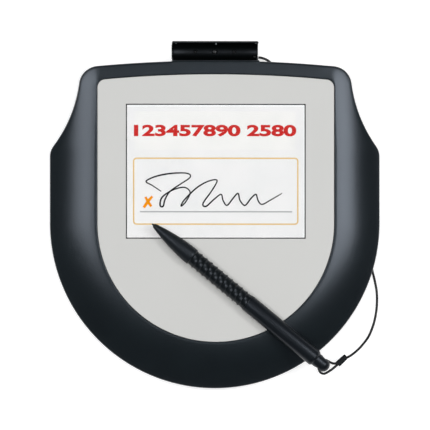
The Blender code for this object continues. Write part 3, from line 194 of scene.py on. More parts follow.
def box(size, middle, edge=0, segments=2):
    """A block with rounded edges: a cube at its size, bevelled in edit mode."""
    only()
    bpy.ops.mesh.primitive_cube_add(size=1, location=middle, scale=size)
    piece = bpy.context.object
    bpy.ops.object.transform_apply(location=False, rotation=False, scale=True)
    if edge:
        edit()
        bpy.ops.mesh.bevel(offset=edge, segments=segments, affect="EDGES")
        only(piece)
    return piece


def cut(piece, tool):
    """Cuts the tool's shape out of a piece and takes the tool away."""
    modifier = only(piece).modifiers.new("cut", "BOOLEAN")
    modifier.operation = "DIFFERENCE"
    modifier.solver = "EXACT"
    modifier.object = tool
    bpy.ops.object.modifier_apply(modifier=modifier.name)
    bpy.data.objects.remove(tool)
    return only(piece)


def rod(radius, low, high, place, steps=32):
    """An upright cylinder between two heights, used as a cutting tool."""
    only()
    middle = (place[0], place[1], (low + high) / 2)
    bpy.ops.mesh.primitive_cylinder_add(vertices=steps, radius=radius, depth=high - low, location=middle)
    return bpy.context.object


def along_x(radius, length, middle, steps=48):
    """A cylinder along X, used as a cutting tool."""
    only()
    bpy.ops.mesh.primitive_cylinder_add(
        vertices=steps, radius=radius, depth=length, location=middle, rotation=(0, math.pi / 2, 0)
    )
    return bpy.context.object


def joined_to(first, *others):
    """Joins pieces into the first one."""
    only(first)
    for other in others:
        other.select_set(True)
    bpy.ops.object.join()
    return first


def copy_of(piece):
    """A copy with its own mesh, selected."""
    only(piece)
    bpy.ops.object.duplicate(linked=False)
    return bpy.context.object


# %% [markdown]
# ## Tools for materials
#
# Every colour is written as the hex value that one would pick on a screen, and is turned to linear
# light once. One function adds a node with its settings and its links. All patterns read Object
# coordinates, in metres, so a pattern's scale is one over the size of its grain.

# %% Colours and nodes
def linear(code):
    """Linear light from an sRGB hex colour."""
    shares = [int(code[place : place + 2], 16) / 255 for place in (1, 3, 5)]
    bent = [share / 12.92 if share <= 0.04045 else ((share + 0.055) / 1.055) ** 2.4 for share in shares]
    return (*bent, 1)


def add(tree, kind, sockets=None, **settings):
    """Adds a node. Sockets are values or another node's output, and settings are its properties."""
    made = tree.nodes.new(kind)
    for name, value in settings.items():
        setattr(made, name, value)
    for name, value in (sockets or {}).items():
        if isinstance(value, bpy.types.NodeSocket):
            tree.links.new(value, made.inputs[name])
        else:
            made.inputs[name].default_value = value
    return made


def start(name, **sockets):
    """A new material: its tree, its Principled shader, and the Object coordinates its patterns read."""
    made = bpy.data.materials.new(name)
    made.use_nodes = True
    tree = made.node_tree
    shader = tree.nodes["Principled BSDF"]
    for socket, value in sockets.items():
        shader.inputs[socket.replace("_", " ")].default_value = value
    where = add(tree, "ShaderNodeTexCoord").outputs["Object"]
    return made, tree, shader, where


def two_tones(tree, share, first, second, low=0.3, high=0.7):
    """A colour that goes from the first tone to the second as share goes from low to high."""
    ramp = add(tree, "ShaderNodeValToRGB", {"Fac": share})
    for stop, place, tone in zip(ramp.color_ramp.elements, (low, high), (first, second)):
        stop.position = place
        stop.color = linear(tone)
    return ramp.outputs["Color"]


def bumped(tree, shader, height, depth, share=1.0):
    """Raises the surface by a height pattern of that depth in metres."""
    bump = add(tree, "ShaderNodeBump", {"Strength": share, "Distance": depth, "Height": height})
    tree.links.new(bump.outputs["Normal"], shader.inputs["Normal"])
    return bump


def rough_between(tree, shader, share, low, high):
    """Roughness that follows a pattern between two values."""
    made = add(tree, "ShaderNodeMapRange", {"Value": share, "To Min": low, "To Max": high})
    tree.links.new(made.outputs["Result"], shader.inputs["Roughness"])


def moulded(name, tones, roughness, grain, depth, cloud=0.02, **sockets):
    """A moulded plastic or rubber: two close tones in slow clouds, and a fine grain in its surface.

    grain is the width of the tool's spark or blast marks, depth their height, and cloud the width of
    the slow change in tone, all in metres.
    """
    made, tree, shader, where = start(name, **sockets)
    clouds = add(tree, "ShaderNodeTexNoise", {"Vector": where, "Scale": 1 / cloud, "Detail": 3.0})
    fine = add(tree, "ShaderNodeTexNoise", {"Vector": where, "Scale": 1 / grain, "Detail": 2.0})
    tree.links.new(two_tones(tree, clouds.outputs["Fac"], *tones), shader.inputs["Base Color"])
    rough_between(tree, shader, fine.outputs["Fac"], *roughness)
    bumped(tree, shader, fine.outputs["Fac"], depth)
    return made


# %% [markdown]
# ## Plastics and rubbers
#
# The housing is ABS from a tool with a spark-eroded surface, which leaves a fine even grain that
# softens every reflection. The panel is the same kind of plastic, pale and with a finer mat grain.
# The stylus and the trough are satin ABS and nylon, with hardly any grain, so they keep a soft clear
# streak of light. The grip, the feet and the seal are rubbers and shine least of all.

# %% Housing and panel plastics
BLUISH = linear("#e6f0ff")
housing_abs = moulded(
    "spark-textured ABS, charcoal", ("#11171a", "#141b1e"), (0.26, 0.32), 0.0006, 0.00004,
    Specular_Tint=BLUISH, IOR=1.55
)
panel_abs = moulded("mat ABS, pale grey", ("#d1d1ce", "#d3d3d0"), (0.5, 0.6), 0.0004, 0.00001, 0.04)

# %% Stylus, trough and cord plastics
stylus_abs = moulded(
    "satin ABS, black", ("#12161a", "#15191d"), (0.3, 0.36), 0.0005, 0.000008, Specular_IOR_Level=0.29,
    Specular_Tint=BLUISH
)
nose_abs = moulded(
    "mat ABS, black", ("#13171a", "#161a1d"), (0.4, 0.46), 0.0005, 0.000008, Specular_IOR_Level=0.31,
    Specular_Tint=BLUISH
)
trough_nylon = moulded(
    "moulded nylon, black", ("#020303", "#030505"), (0.34, 0.4), 0.0005, 0.00001, Specular_IOR_Level=0.22,
    Specular_Tint=BLUISH
)
# Pale nylon for the small pads on the trough's rear lip: their paleness is a painted glint.
lip_glint_nylon = moulded("nylon, pale, painted glint", ("#4d5457", "#575e61"), (0.5, 0.6), 0.0003, 0.00001)
nib_acetal = moulded("acetal, black", ("#141618", "#18191b"), (0.3, 0.4), 0.0003, 0.000005, 0.003)
cord_pvc = moulded(
    "PVC cord jacket, black", ("#0e1012", "#121417"), (0.4, 0.5), 0.0004, 0.00001, 0.004,
    Specular_IOR_Level=0.3
)
sleeve_resin = moulded(
    "heat-shrunk polyolefin, black", ("#0e1215", "#12161a"), (0.5, 0.6), 0.0004, 0.00002,
    Specular_IOR_Level=0.12
)

# %% Rubbers
grip_rubber = moulded(
    "TPE grip rubber, black", ("#0e1214", "#111517"), (0.27, 0.33), 0.0004, 0.00001, Specular_IOR_Level=0.3,
    Specular_Tint=BLUISH
)
foot_rubber = moulded("polyurethane foot rubber, black", ("#16181a", "#1c1e20"), (0.7, 0.85), 0.0007, 0.00005)
seal_rubber = moulded("silicone seal, black", ("#090a0b", "#0d0e0f"), (0.6, 0.7), 0.0006, 0.00002)

# %% [markdown]
# ## Metals, glass and the parts inside
#
# The housing's screws are zinc-plated steel, and the one in the trough is plated black. The bracket
# and its two screws have a black oxide skin. The socket and the display's tray are plated sheet. A
# metal gets its look from its colour, Metallic and roughness. The glass lets lamps through, so that
# the pen throws its shadow on the display as well. The parts inside show only when the pad is opened,
# yet each has its own finish: weave and tracks on the boards, windings on the coil, conductors in the
# ribbons.

# %% Metals
def plated(name, tones, roughness, grain=0.0004, depth=0.000003):
    """A metal with faint cloudy tarnish and fine marks from its drum or rolling."""
    return moulded(name, tones, roughness, grain, depth, 0.003, Metallic=1.0)


zinc_steel = plated("zinc-plated steel", ("#b9bcbf", "#c6c8c9"), (0.28, 0.42))
grey_steel = plated("black zinc-plated steel", ("#454648", "#4d4e50"), (0.4, 0.5))
oxide_steel = plated("black oxide steel", ("#2a2b2d", "#343537"), (0.38, 0.5))
tray_steel = plated("tin-plated sheet steel", ("#b4b6b7", "#bfc0bf"), (0.3, 0.45), 0.0008)
socket_nickel = plated("nickel-plated brass sheet", ("#b3ada0", "#c2bdb2"), (0.2, 0.32))
contact_gold = plated("gold-plated contact", ("#d8b25c", "#e2c078"), (0.2, 0.3))


# %% Writing glass
def writing_glass_look():
    """Hardened glass. Shadow rays pass, because a pane this thin hardly dims the display."""
    made, tree, shader, where = start("hardened glass", Roughness=0.04, IOR=1.52)
    shader.inputs["Transmission Weight"].default_value = 1.0
    smears = add(tree, "ShaderNodeTexNoise", {"Vector": where, "Scale": 60.0, "Detail": 2.0})
    tree.links.new(two_tones(tree, smears.outputs["Fac"], "#fbfcfc", "#ffffff"), shader.inputs["Base Color"])
    clear = add(tree, "ShaderNodeBsdfTransparent", {"Color": linear("#f8fafa")})
    light = add(tree, "ShaderNodeLightPath")
    mixed = add(tree, "ShaderNodeMixShader", {"Fac": light.outputs["Is Shadow Ray"]})
    tree.links.new(shader.outputs["BSDF"], mixed.inputs[1])
    tree.links.new(clear.outputs["BSDF"], mixed.inputs[2])
    tree.links.new(mixed.outputs["Shader"], tree.nodes["Material Output"].inputs["Surface"])
    return made


hard_glass = writing_glass_look()


# %% Lit display
REFLECTED = 0.57
GLOW = 0.42
DOTS = 0.00018


def lit(tone_name, tone):
    """A lit part of the display: some of its brightness glows, the rest is lamp light thrown back.

    A fine grid stands for the cells, drawn at the size at which it can just show.
    """
    name = "lit display, " + tone_name
    made, tree, shader, where = start(name, Roughness=0.5, Specular_IOR_Level=0.0)
    apart = add(tree, "ShaderNodeSeparateXYZ", {"Vector": where})
    waves = [
        add(tree, "ShaderNodeMath", {0: apart.outputs[axis], 1: DOTS}, operation="PINGPONG") for axis in "XY"
    ]
    both = add(tree, "ShaderNodeMath", {0: waves[0].outputs[0], 1: waves[1].outputs[0]}, operation="MINIMUM")
    share = add(tree, "ShaderNodeMapRange", {"Value": both.outputs[0], "From Max": DOTS / 4, "To Min": 0.97})
    full = linear(tone)
    for socket, part in (("Base Color", REFLECTED), ("Emission Color", GLOW)):
        shade = add(
            tree,
            "ShaderNodeMix",
            {"Factor": share.outputs["Result"], "A": (0, 0, 0, 1), "B": (*[part * c for c in full[:3]], 1)},
            data_type="RGBA",
        )
        tree.links.new(shade.outputs["Result"], shader.inputs[socket])
    shader.inputs["Emission Strength"].default_value = 1.0
    return made


page_light = lit("white", "#f2f0f0")
field_light = lit("warm white", "#f5f3f1")
# The white strips along the page's top and right edges are a painted highlight of the glass's edge.
edge_highlight_light = lit("painted edge highlight", "#ffffff")
red_light = lit("red", "#cb2823")
tan_light = lit("tan", "#e6c27e")
orange_light = lit("orange", "#f09304")
grey_light = lit("grey", "#b4b4b4")
ink_light = lit("black", "#1c1c1e")
display_mask = moulded("display mask, black", ("#101112", "#141516"), (0.4, 0.5), 0.0005, 0.000004)


# %% Boards and chips
TRACK_PITCH = 0.004
WEAVE_PITCH = 0.0016


def board_look(name, mask, track):
    """Glass cloth under green solder mask, with its copper tracks showing through a little paler."""
    made, tree, shader, where = start(name, Roughness=0.35)
    tones = {"Color1": linear(mask), "Color2": linear(mask), "Mortar": linear(track)}
    bricks = {"Vector": where, "Scale": 1 / TRACK_PITCH, "Mortar Size": 0.05}
    tracks = add(tree, "ShaderNodeTexBrick", {**bricks, **tones})
    cloth = add(tree, "ShaderNodeTexWave", {"Vector": where, "Scale": 1 / WEAVE_PITCH, "Distortion": 1.0})
    tree.links.new(tracks.outputs["Color"], shader.inputs["Base Color"])
    rough_between(tree, shader, cloth.outputs["Fac"], 0.3, 0.42)
    bumped(tree, shader, tracks.outputs["Fac"], 0.00003)
    return made


board_green = board_look("FR-4 board, green mask", "#14502f", "#1f6b41")
chip_epoxy = moulded("moulded epoxy chip", ("#19191b", "#202022"), (0.5, 0.65), 0.0003, 0.00001)
ferrite = moulded("sintered ferrite", ("#37383b", "#434447"), (0.6, 0.75), 0.0002, 0.00001, 0.002)
connector_pbt = moulded("PBT connector, cream", ("#cfc5a8", "#d8cfb5"), (0.4, 0.5), 0.0004, 0.00001)
guide_acrylic = moulded("acrylic light guide", ("#e6ebec", "#eef1f2"), (0.12, 0.2), 0.0008, 0.000005)
crystal_can = plated("nickel-plated crystal can", ("#c2c2bd", "#cfcfcb"), (0.15, 0.25))


def striped_look(name, first, second, pitch, direction, metallic, roughness):
    """Parallel conductors or windings: stripes of that pitch across one axis."""
    made, tree, shader, where = start(name, Metallic=metallic, Roughness=roughness)
    sockets = {"Vector": where, "Scale": math.tau / 20 / pitch}
    stripes = add(tree, "ShaderNodeTexWave", sockets, bands_direction=direction)
    tones = two_tones(tree, stripes.outputs["Fac"], first, second, 0.4, 0.6)
    tree.links.new(tones, shader.inputs["Base Color"])
    bumped(tree, shader, stripes.outputs["Fac"], 0.00005)
    return made


ribbon_film = striped_look("polyimide ribbon, amber", "#8a4a12", "#c27b2c", 0.001, "X", 0.0, 0.35)
coil_copper = striped_look("enamelled copper winding", "#9a4c22", "#d0824c", 0.0005, "DIAGONAL", 1.0, 0.3)

# %% [markdown]
# ## The tether
#
# The stylus hangs on a cord with a smooth black PVC jacket, 1.4 mm across. It leaves the right end of
# the trough, drops behind the housing, lies slack in one easy bend under the pad, comes out on the
# right and runs up to a sleeve beside the stylus. A curve with a bevel could draw it, but it is a mesh
# tube: a small ring is extruded along the route of the CAD cord, whose two ends are moved by up to 2
# mm to where the photograph has them.

# %% The cord's route
CORD_RADIUS = 0.0007
CORD_SIDES = 12
CORD_SPACING = 0.0018
LOOP_SPACING = 0.0007
CURVE_STEPS = 16

TETHER_ROUTE = (
    (0.02495, 0.0901, 0.0051), (0.0273, 0.0897, 0.0050), (0.0300, 0.0886, 0.0044),
    (0.0322, 0.0869, 0.0033), (0.0342, 0.0846, 0.0019), (0.0363, 0.0814, 0.0009),
    (0.0380, 0.0775, 0.0007), (0.0392, 0.0716, 0.0007), (0.0386, 0.0600, 0.0007),
    (0.0310, 0.0490, 0.0007), (0.0190, 0.0400, 0.0007), (0.0060, 0.0310, 0.0007),
    (-0.0010, 0.0190, 0.0007), (0.0010, 0.0060, 0.0007), (0.0110, -0.0030, 0.0007),
    (0.0250, -0.0050, 0.0007), (0.0400, 0.0000, 0.0007), (0.0550, 0.0050, 0.0007),
    (0.0700, 0.0050, 0.0007), (0.0814, -0.0030, 0.0007), (0.0874, -0.0158, 0.0007),
    (0.0901, -0.0303, 0.0007), (0.0916, -0.0367, 0.0007), (0.0929, -0.0440, 0.0007),
    (0.0929, -0.0521, 0.0007), (0.0918, -0.0593, 0.0009), (0.0903, -0.0643, 0.0017),
    (0.0884, -0.0687, 0.0029), (0.0865, -0.0715, 0.0044), (0.0844, -0.0740, 0.0063),
    (0.0820, -0.0765, 0.0088), (0.0790, -0.0790, 0.0113), (0.0767, -0.0805, 0.0137),
    (0.0752, -0.0813, 0.0152),
)


def smooth_route(points, spacing):
    """Evenly spaced points along the smooth curve that passes through the given ones, and its length."""
    knots = [Vector(point) for point in points]
    ends = [2 * knots[0] - knots[1], *knots, 2 * knots[-1] - knots[-2]]
    fine = []
    for before, first, last, after in zip(ends, ends[1:], ends[2:], ends[3:]):
        for step in range(CURVE_STEPS):
            t = step / CURVE_STEPS
            fine.append(
                0.5
                * (
                    2 * first
                    + (last - before) * t
                    + (2 * before - 5 * first + 4 * last - after) * t * t
                    + (3 * first - before - 3 * last + after) * t * t * t
                )
            )
    fine.append(knots[-1])
    lengths = [0]
    for first, last in zip(fine, fine[1:]):
        lengths.append(lengths[-1] + (last - first).length)
    count = max(2, round(lengths[-1] / spacing))
    even, at = [], 0
    for step in range(count):
        target = lengths[-1] * step / count
        while lengths[at + 1] < target:
            at += 1
        share = (target - lengths[at]) / (lengths[at + 1] - lengths[at])
        even.append(fine[at].lerp(fine[at + 1], share))
    return [*even, fine[-1]], lengths[-1]


def rings_along(points, radius, sides):
    """Rings square to a route, each turned as little as possible from the one before."""
    side = (points[1] - points[0]).orthogonal().normalized()
    rings = []
    for before, point, after in zip([points[0], *points], points, [*points[1:], points[-1]]):
        ahead = (after - before).normalized()
        side = (side - ahead * side.dot(ahead)).normalized()
        other = ahead.cross(side)
        rings.append([
            point + radius * (side * math.cos(math.tau * i / sides) + other * math.sin(math.tau * i / sides))
            for i in range(sides)
        ])
    return rings


# %% The free cord
route, tether_length = smooth_route(TETHER_ROUTE, CORD_SPACING)
through(rings_along(route, CORD_RADIUS, CORD_SIDES))
tether = only(bpy.context.object)
tether.name = "tether"
bpy.ops.object.shade_smooth()
tether.data.materials.append(cord_pvc)
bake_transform(tether)
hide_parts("tether")
print(f"tether {tether_length * 1000:.1f} mm, {len(route)} points")

# %% [markdown]
# ## The stylus's place, the loop and the sleeve
#
# The stylus lies across the panel, with its tip on the lower left of the window. All its parts are
# round, so they are modelled upright on their own axis and then laid down by the same matrix. Its rear
# end has a hole across it. A loop of the same cord passes through the hole and is closed by a small
# shrunk sleeve, which also grips the end of the tether.

# %% Where the stylus lies
STYLUS_HEADING = math.radians(-39.48)
EYELET_PLACE = Vector((0.0600896, -0.0848811, 0.02295))
EYELET_FROM_TIP = 0.1254
ALONG = Vector((math.cos(STYLUS_HEADING), math.sin(STYLUS_HEADING), 0))
ACROSS = Vector((-math.sin(STYLUS_HEADING), math.cos(STYLUS_HEADING), 0))
UP = Vector((0, 0, 1))
STYLUS_TIP = EYELET_PLACE - ALONG * EYELET_FROM_TIP
LAID_DOWN = Matrix.Translation(STYLUS_TIP) @ Matrix((ACROSS, UP, ALONG)).transposed().to_4x4()


def from_eyelet(point):
    """A point given along the stylus, across it and up, from the eyelet's centre."""
    return EYELET_PLACE + ALONG * point[0] + ACROSS * point[1] + UP * point[2]


# %% The loop through the eyelet
LOOP_ROUTE = (
    (0.00760, 0.00610, -0.00570), (0.00735, 0.00430, -0.00560), (0.00680, 0.00150, -0.00530),
    (0.00605, -0.00095, -0.00490), (0.00490, -0.00335, -0.00430), (0.00300, -0.00415, -0.00345),
    (0.00205, -0.00395, -0.00265), (0.00120, -0.00365, -0.00170), (0.00055, -0.00330, -0.00080),
    (0.00010, -0.00280, -0.00015), (0, -0.00210, 0), (0, -0.00100, 0), (0, 0.00100, 0), (0, 0.00210, 0),
    (0.00010, 0.00275, -0.00012), (0.00055, 0.00315, -0.00065), (0.00125, 0.00335, -0.00145),
    (0.00220, 0.00365, -0.00240), (0.00370, 0.00395, -0.00365), (0.00505, 0.00440, -0.00465),
    (0.00580, 0.00495, -0.00520), (0.00630, 0.00545, -0.00550), (0.00660, 0.00610, -0.00570),
)
loop_route, loop_length = smooth_route([from_eyelet(point) for point in LOOP_ROUTE], LOOP_SPACING)
through(rings_along(loop_route, CORD_RADIUS, CORD_SIDES))
loop = done("tether_loop", cord_pvc, "tether_end")
print(f"loop {loop_length * 1000:.1f} mm")

# %% The sleeve
SLEEVE_START = (0.0075, 0.0059, -0.0057)
SLEEVE_ALONG = Vector((0.134, 0.955, -0.27)).normalized()
SLEEVE_LENGTH = 0.0068
SLEEVE_WIDTH = 0.0034
SLEEVE_THICK = 0.0018
SLEEVE_STEPS = 12
SLEEVE_SIDES = 20
SQUARENESS = 0.6
PINCH = 0.14
PINCH_AT = 0.28
PINCH_SHARPNESS = 4
PLAIN_END = 0.1
MOUTH_DRAWN = 0.94
FLARE = 1.04
TAPER = 0.1


def sleeve_ring(share):
    """One section of the sleeve: a flat oval, wider at the loop's end, pinched in twice by the crimp."""
    wave = max(0, math.cos(2 * math.tau * (share - PINCH_AT)))
    pinch = 1 - PINCH * wave**PINCH_SHARPNESS * (PLAIN_END < share < 1 - PLAIN_END)
    mouth = min(1, 4 * min(share, 1 - share) + MOUTH_DRAWN)
    wide = SLEEVE_WIDTH / 2 * (FLARE - TAPER * share) * mouth
    thick = SLEEVE_THICK / 2 * pinch * mouth
    points = []
    for step in range(SLEEVE_SIDES):
        turn = math.tau * step / SLEEVE_SIDES
        across, up = math.cos(turn), math.sin(turn)
        points.append((
            math.copysign(abs(across) ** SQUARENESS, across) * wide,
            math.copysign(abs(up) ** SQUARENESS, up) * thick,
            SLEEVE_LENGTH * share,
        ))
    return points


through([sleeve_ring(step / SLEEVE_STEPS) for step in range(SLEEVE_STEPS + 1)])
ahead = ALONG * SLEEVE_ALONG[0] + ACROSS * SLEEVE_ALONG[1] + UP * SLEEVE_ALONG[2]
wide_way = ahead.cross(UP).normalized()
turn = Matrix((wide_way, ahead.cross(wide_way), ahead)).transposed().to_4x4()
bpy.context.object.matrix_world = Matrix.Translation(from_eyelet(SLEEVE_START)) @ turn
sleeve = done("crimp_sleeve", sleeve_resin, "tether_end")

# %% [markdown]
# ## The outlines of the pad
#
# Seen from above, the housing is a half circle for the palm, straight sides, a small shoulder, a
# drawn-in waist, round corners and a shallow arch on top. The panel repeats that shape with small
# corners. Both are written as runs of tangent arcs with the same number of points, so that a ring on
# one can be joined point by point with a ring on the other. The housing's top edge runs straight for
# the length of the trough, a little proud of the arch.

# %% Sizes of the outlines
PAD_Y = -0.0049107
HOUSING_RADIUS = 0.0942
HOUSING_SIDE = 0.0381
PALM_RISE = 0.00025
SHOULDER_RADIUS = 0.0099
SHOULDER_TURN = math.radians(36.7)
WAIST_RADIUS = 0.0768
WAIST_TURN = math.radians(29.2)
CORNER_RADIUS = 0.0111
BROW_TURN = math.radians(5.3)
PANEL_RADIUS = 0.0675
PANEL_SIDE = 0.0775
PANEL_CORNER = 0.0046
LEDGE_HALF = 0.0248
LEDGE_Y = 0.0931
LEDGE_STEP = 0.0003

PALM_STEPS = 48
SIDE_STEPS = 5
SHOULDER_STEPS = 8
WAIST_STEPS = 10
CORNER_STEPS = 12
BROW_SHARES = (0.87, 0.74, 0.61, 0.48)
LEDGE_PLACES = (LEDGE_HALF + LEDGE_STEP, LEDGE_HALF, 0.020, 0.015, 0.010, 0.005, 0)


# %% Arcs and outlines
def arc_on(points, heading, radius, turn, steps):
    """Adds a tangent arc to a run of points, to the left for a positive turn, and returns the new heading."""
    side = math.copysign(1, turn)
    x, y = points[-1]
    centre_x = x - side * radius * math.sin(heading)
    centre_y = y + side * radius * math.cos(heading)
    for step in range(1, steps + 1):
        angle = heading + turn * step / steps
        points.append((
            centre_x + side * radius * math.sin(angle), centre_y - side * radius * math.cos(angle)
        ))
    return heading + turn


def brow_on(points, ledge=None):
    """Ends a half outline with the shallow arch on top, or with a straight ledge in its middle."""
    corner_x, corner_y = points[-1]
    radius = corner_x / math.sin(BROW_TURN)
    for x in [share * corner_x for share in BROW_SHARES] + list(LEDGE_PLACES):
        y = corner_y + math.sqrt(radius * radius - x * x) - math.sqrt(radius * radius - corner_x * corner_x)
        points.append((x, ledge if ledge and x <= LEDGE_HALF else y))
    return points


def housing_half(inset=0):
    """Right half of the housing's outline, from the middle of the palm edge to the middle of the top edge."""
    points = [(0, inset - HOUSING_RADIUS + PALM_RISE)]
    heading = arc_on(points, 0, HOUSING_RADIUS - inset, math.pi / 2, PALM_STEPS)
    x, y = points[-1]
    points += [(x, y + HOUSING_SIDE * step / SIDE_STEPS) for step in range(1, SIDE_STEPS + 1)]
    heading = arc_on(points, heading, SHOULDER_RADIUS - inset, SHOULDER_TURN, SHOULDER_STEPS)
    heading = arc_on(points, heading, WAIST_RADIUS + inset, -WAIST_TURN, WAIST_STEPS)
    arc_on(points, heading, CORNER_RADIUS - inset, math.pi - BROW_TURN - heading, CORNER_STEPS)
    return brow_on(points, LEDGE_Y - inset)


def panel_half(grow=0):
    """Right half of the panel's outline, with a point for each point of the housing's."""
    points = [(0, -PANEL_RADIUS - grow)]
    heading = arc_on(points, 0, PANEL_RADIUS + grow, math.pi / 2, PALM_STEPS)
    last = PALM_STEPS + SIDE_STEPS + SHOULDER_STEPS + WAIST_STEPS
    levels = [y for _, y in housing_half()[PALM_STEPS + 1 : last + 1]]
    points += [(points[-1][0], level / levels[-1] * PANEL_SIDE) for level in levels]
    arc_on(points, heading, PANEL_CORNER + grow, math.pi / 2 - BROW_TURN, CORNER_STEPS)
    return brow_on(points)


def whole(half, height=None):
    """A whole ring from its right half, in the object's frame, at one height if it is given."""
    both = list(half) + [(-point[0], *point[1:]) for point in reversed(half[1:-1])]
    return [(point[0], point[1] + PAD_Y, point[2] if height is None else height) for point in both]


print(len(whole(housing_half(), 0)), "points round the pad")

# %% [markdown]
# ## Top housing
#
# The bezel's surface starts at the panel's edge, 18 mm up, and falls away in a curve that grows
# steeper towards the rim. Where the bezel is wide, at the palm, it ends 7 mm up, and where it is
# narrow, at the top edge, it hardly falls at all. One height curve, read at each point's distance
# from the panel, gives both. Beside and above the panel that distance is measured sideways, so that
# the pale bands run straight up to the top corners, and the top edge falls only a little. In the
# corners the one slope turns into the other over some millimetres, without a crease. The ring is
# extruded over the crown, round the rim, down the wall and back up inside, so the shell has the wall
# of a moulded part.

# %% Heights of the housing
RIDGE_HEIGHT = 0.018
RIM_HEIGHT = 0.007
BEZEL_WIDTH = 0.026
EASE = 0.21
TOP_FALL = 0.3
CORNER_TURN = 0.006
CORNER_SHARE = 0.8
CLEARANCE = 0.0003
RIM_ROUND = 0.0012
LIP_ROUND = 0.00035
WALL = 0.0022
DECK_TOP = 0.0164
DECK_UNDER = 0.0146
PARTING_HEIGHT = 0.005
BASE_UNDER = 0.0022
FLOOR_TOP = 0.0046
CEILING_SHARES = (1, 0.75, 0.5, 0.25, 0.1)
CROWN_STEPS = 14
ROUND_STEPS = 5
LIP_STEPS = 3


def crown(distance):
    """Height of the crowned surface at a distance outside the panel."""
    out = distance / BEZEL_WIDTH
    return RIDGE_HEIGHT - (RIDGE_HEIGHT - RIM_HEIGHT) * (EASE * out + (1 - EASE) * out * out)


def surface(start, point):
    """Height of the crowned surface at a point, joined to the panel at start."""
    if start[1] <= 0:
        return crown(math.dist(start, point))
    above = max(0, point[1] - start[1])
    turn_in = min(CORNER_TURN, above * CORNER_SHARE)
    side = point[0] - PANEL_RADIUS - CLEARANCE + turn_in / 2
    beside = max(0, side) if abs(side) >= turn_in else (side + turn_in) ** 2 / (4 * turn_in)
    return crown(beside) - TOP_FALL * (RIDGE_HEIGHT - crown(above))


def between(inner, outer, share, height):
    """A half ring part of the way from one outline to another, at height(start, point)."""
    ring = []
    for start, end in zip(inner, outer):
        point = [a + (b - a) * share for a, b in zip(start, end)]
        ring.append((*point, height(start, point)))
    return ring


def rim_ring(recess, edge, share):
    """A half ring round the rim: at share 0 it lies on the crown, and at share 1 on the upright wall."""
    ring = []
    for start, end in zip(recess, edge):
        away = math.dist(start, end)
        before = [b + (a - b) * RIM_ROUND / away for a, b in zip(start, end)]
        lean = math.atan((surface(start, before) - surface(start, end)) / RIM_ROUND)
        turn = lean + (math.pi / 2 - lean) * share
        centre = surface(start, end) + RIM_ROUND * ((1 - math.sin(lean)) * math.tan(lean) - math.cos(lean))
        inset = RIM_ROUND * (1 - math.sin(turn)) / away
        ring.append((*(b + (a - b) * inset for a, b in zip(start, end)), centre + RIM_ROUND * math.cos(turn)))
    return ring


def window_half(ring_half, half_width, half_depth, middle_y):
    """A rectangle's right half with a point for each point of an outline, seen from the window's middle."""
    points = []
    for x, y in ring_half:
        run, rise = x, y - middle_y
        reach = 1 / max(abs(run) / half_width, abs(rise) / half_depth)
        points.append((run * reach, rise * reach + middle_y))
    for corner in ((half_width, middle_y - half_depth), (half_width, middle_y + half_depth)):
        nearest = min(range(len(points)), key=lambda i: math.dist(points[i], corner))
        points[nearest] = corner
    return points


# %% The housing's rings
WINDOW_Y = 0.02973
WINDOW_MIDDLE = (0, WINDOW_Y + PAD_Y)
GLASS_WIDTH = 0.1014
GLASS_DEPTH = 0.07566
CELL_RIM = 0.003
recess = panel_half(CLEARANCE)
edge_line = housing_half()
inside = housing_half(WALL)
opening = window_half(
    recess, GLASS_WIDTH / 2 + CELL_RIM + CLEARANCE, GLASS_DEPTH / 2 + CELL_RIM + CLEARANCE, WINDOW_Y
)
housing_rings = [whole(opening, DECK_TOP), whole(recess, DECK_TOP)]
for step in range(LIP_STEPS + 1):
    turn = math.pi / 2 * step / LIP_STEPS
    grown = panel_half(CLEARANCE + LIP_ROUND * (1 - math.cos(turn)))
    housing_rings.append(whole(grown, crown(LIP_ROUND) - LIP_ROUND * (1 - math.sin(turn))))
for step in range(1, CROWN_STEPS):
    crowned = between(recess, housing_half(RIM_ROUND), step / CROWN_STEPS, surface)
    housing_rings.append(whole(crowned))
for step in range(ROUND_STEPS + 1):
    housing_rings.append(whole(rim_ring(recess, edge_line, step / ROUND_STEPS)))
housing_rings.append(whole(edge_line, PARTING_HEIGHT + CLEARANCE / 2))
housing_rings.append(whole(housing_half(CLEARANCE / 2), PARTING_HEIGHT))
housing_rings.append(whole(inside, PARTING_HEIGHT))
for share in CEILING_SHARES:
    under = between(recess, inside, share, lambda *places: min(DECK_UNDER, surface(*places) - WALL))
    housing_rings.append(whole(under))
housing_rings.append(whole(opening, DECK_UNDER))
top_housing = through(housing_rings, joined=True)

# %% Trough relief and socket opening in the rear wall
TROUGH_Y = 0.0932
TROUGH_HEIGHT = 0.0108
TROUGH_RADIUS = 0.0061
TROUGH_LENGTH = 0.0493
SOCKET_X = -0.03805
SOCKET_MOUTH_Y = 0.0855728
SOCKET_LOW = 0.0077
SOCKET_WIDTH = 0.009
SOCKET_HEIGHT = 0.0032
SOCKET_DEPTH = 0.0074
SOCKET_MOUTH_ROUND = 0.0012


def trough_relief():
    """The round relief that the trough nests in."""
    return along_x(TROUGH_RADIUS + CLEARANCE, TROUGH_LENGTH + 2 * CLEARANCE, (0, TROUGH_Y, TROUGH_HEIGHT))


cut(top_housing, trough_relief())
mouth = box(
    (SOCKET_WIDTH + 2 * CLEARANCE, 2 * SOCKET_DEPTH, SOCKET_HEIGHT + 2 * CLEARANCE),
    (SOCKET_X, SOCKET_MOUTH_Y, SOCKET_LOW + SOCKET_HEIGHT / 2),
    edge=SOCKET_MOUTH_ROUND,
    segments=4,
)
cut(top_housing, mouth)
done("top_housing", housing_abs)

# %% [markdown]
# ## Base housing
#
# The base is a shallow tray. Its edge is tucked in under the top housing, so that from a step away
# the pad seems to float on a thin dark seam. Below it has round seats for the feet, sunk holes for
# the screws and a flat seat for the trough's bracket, all cut with simple round or square tools.

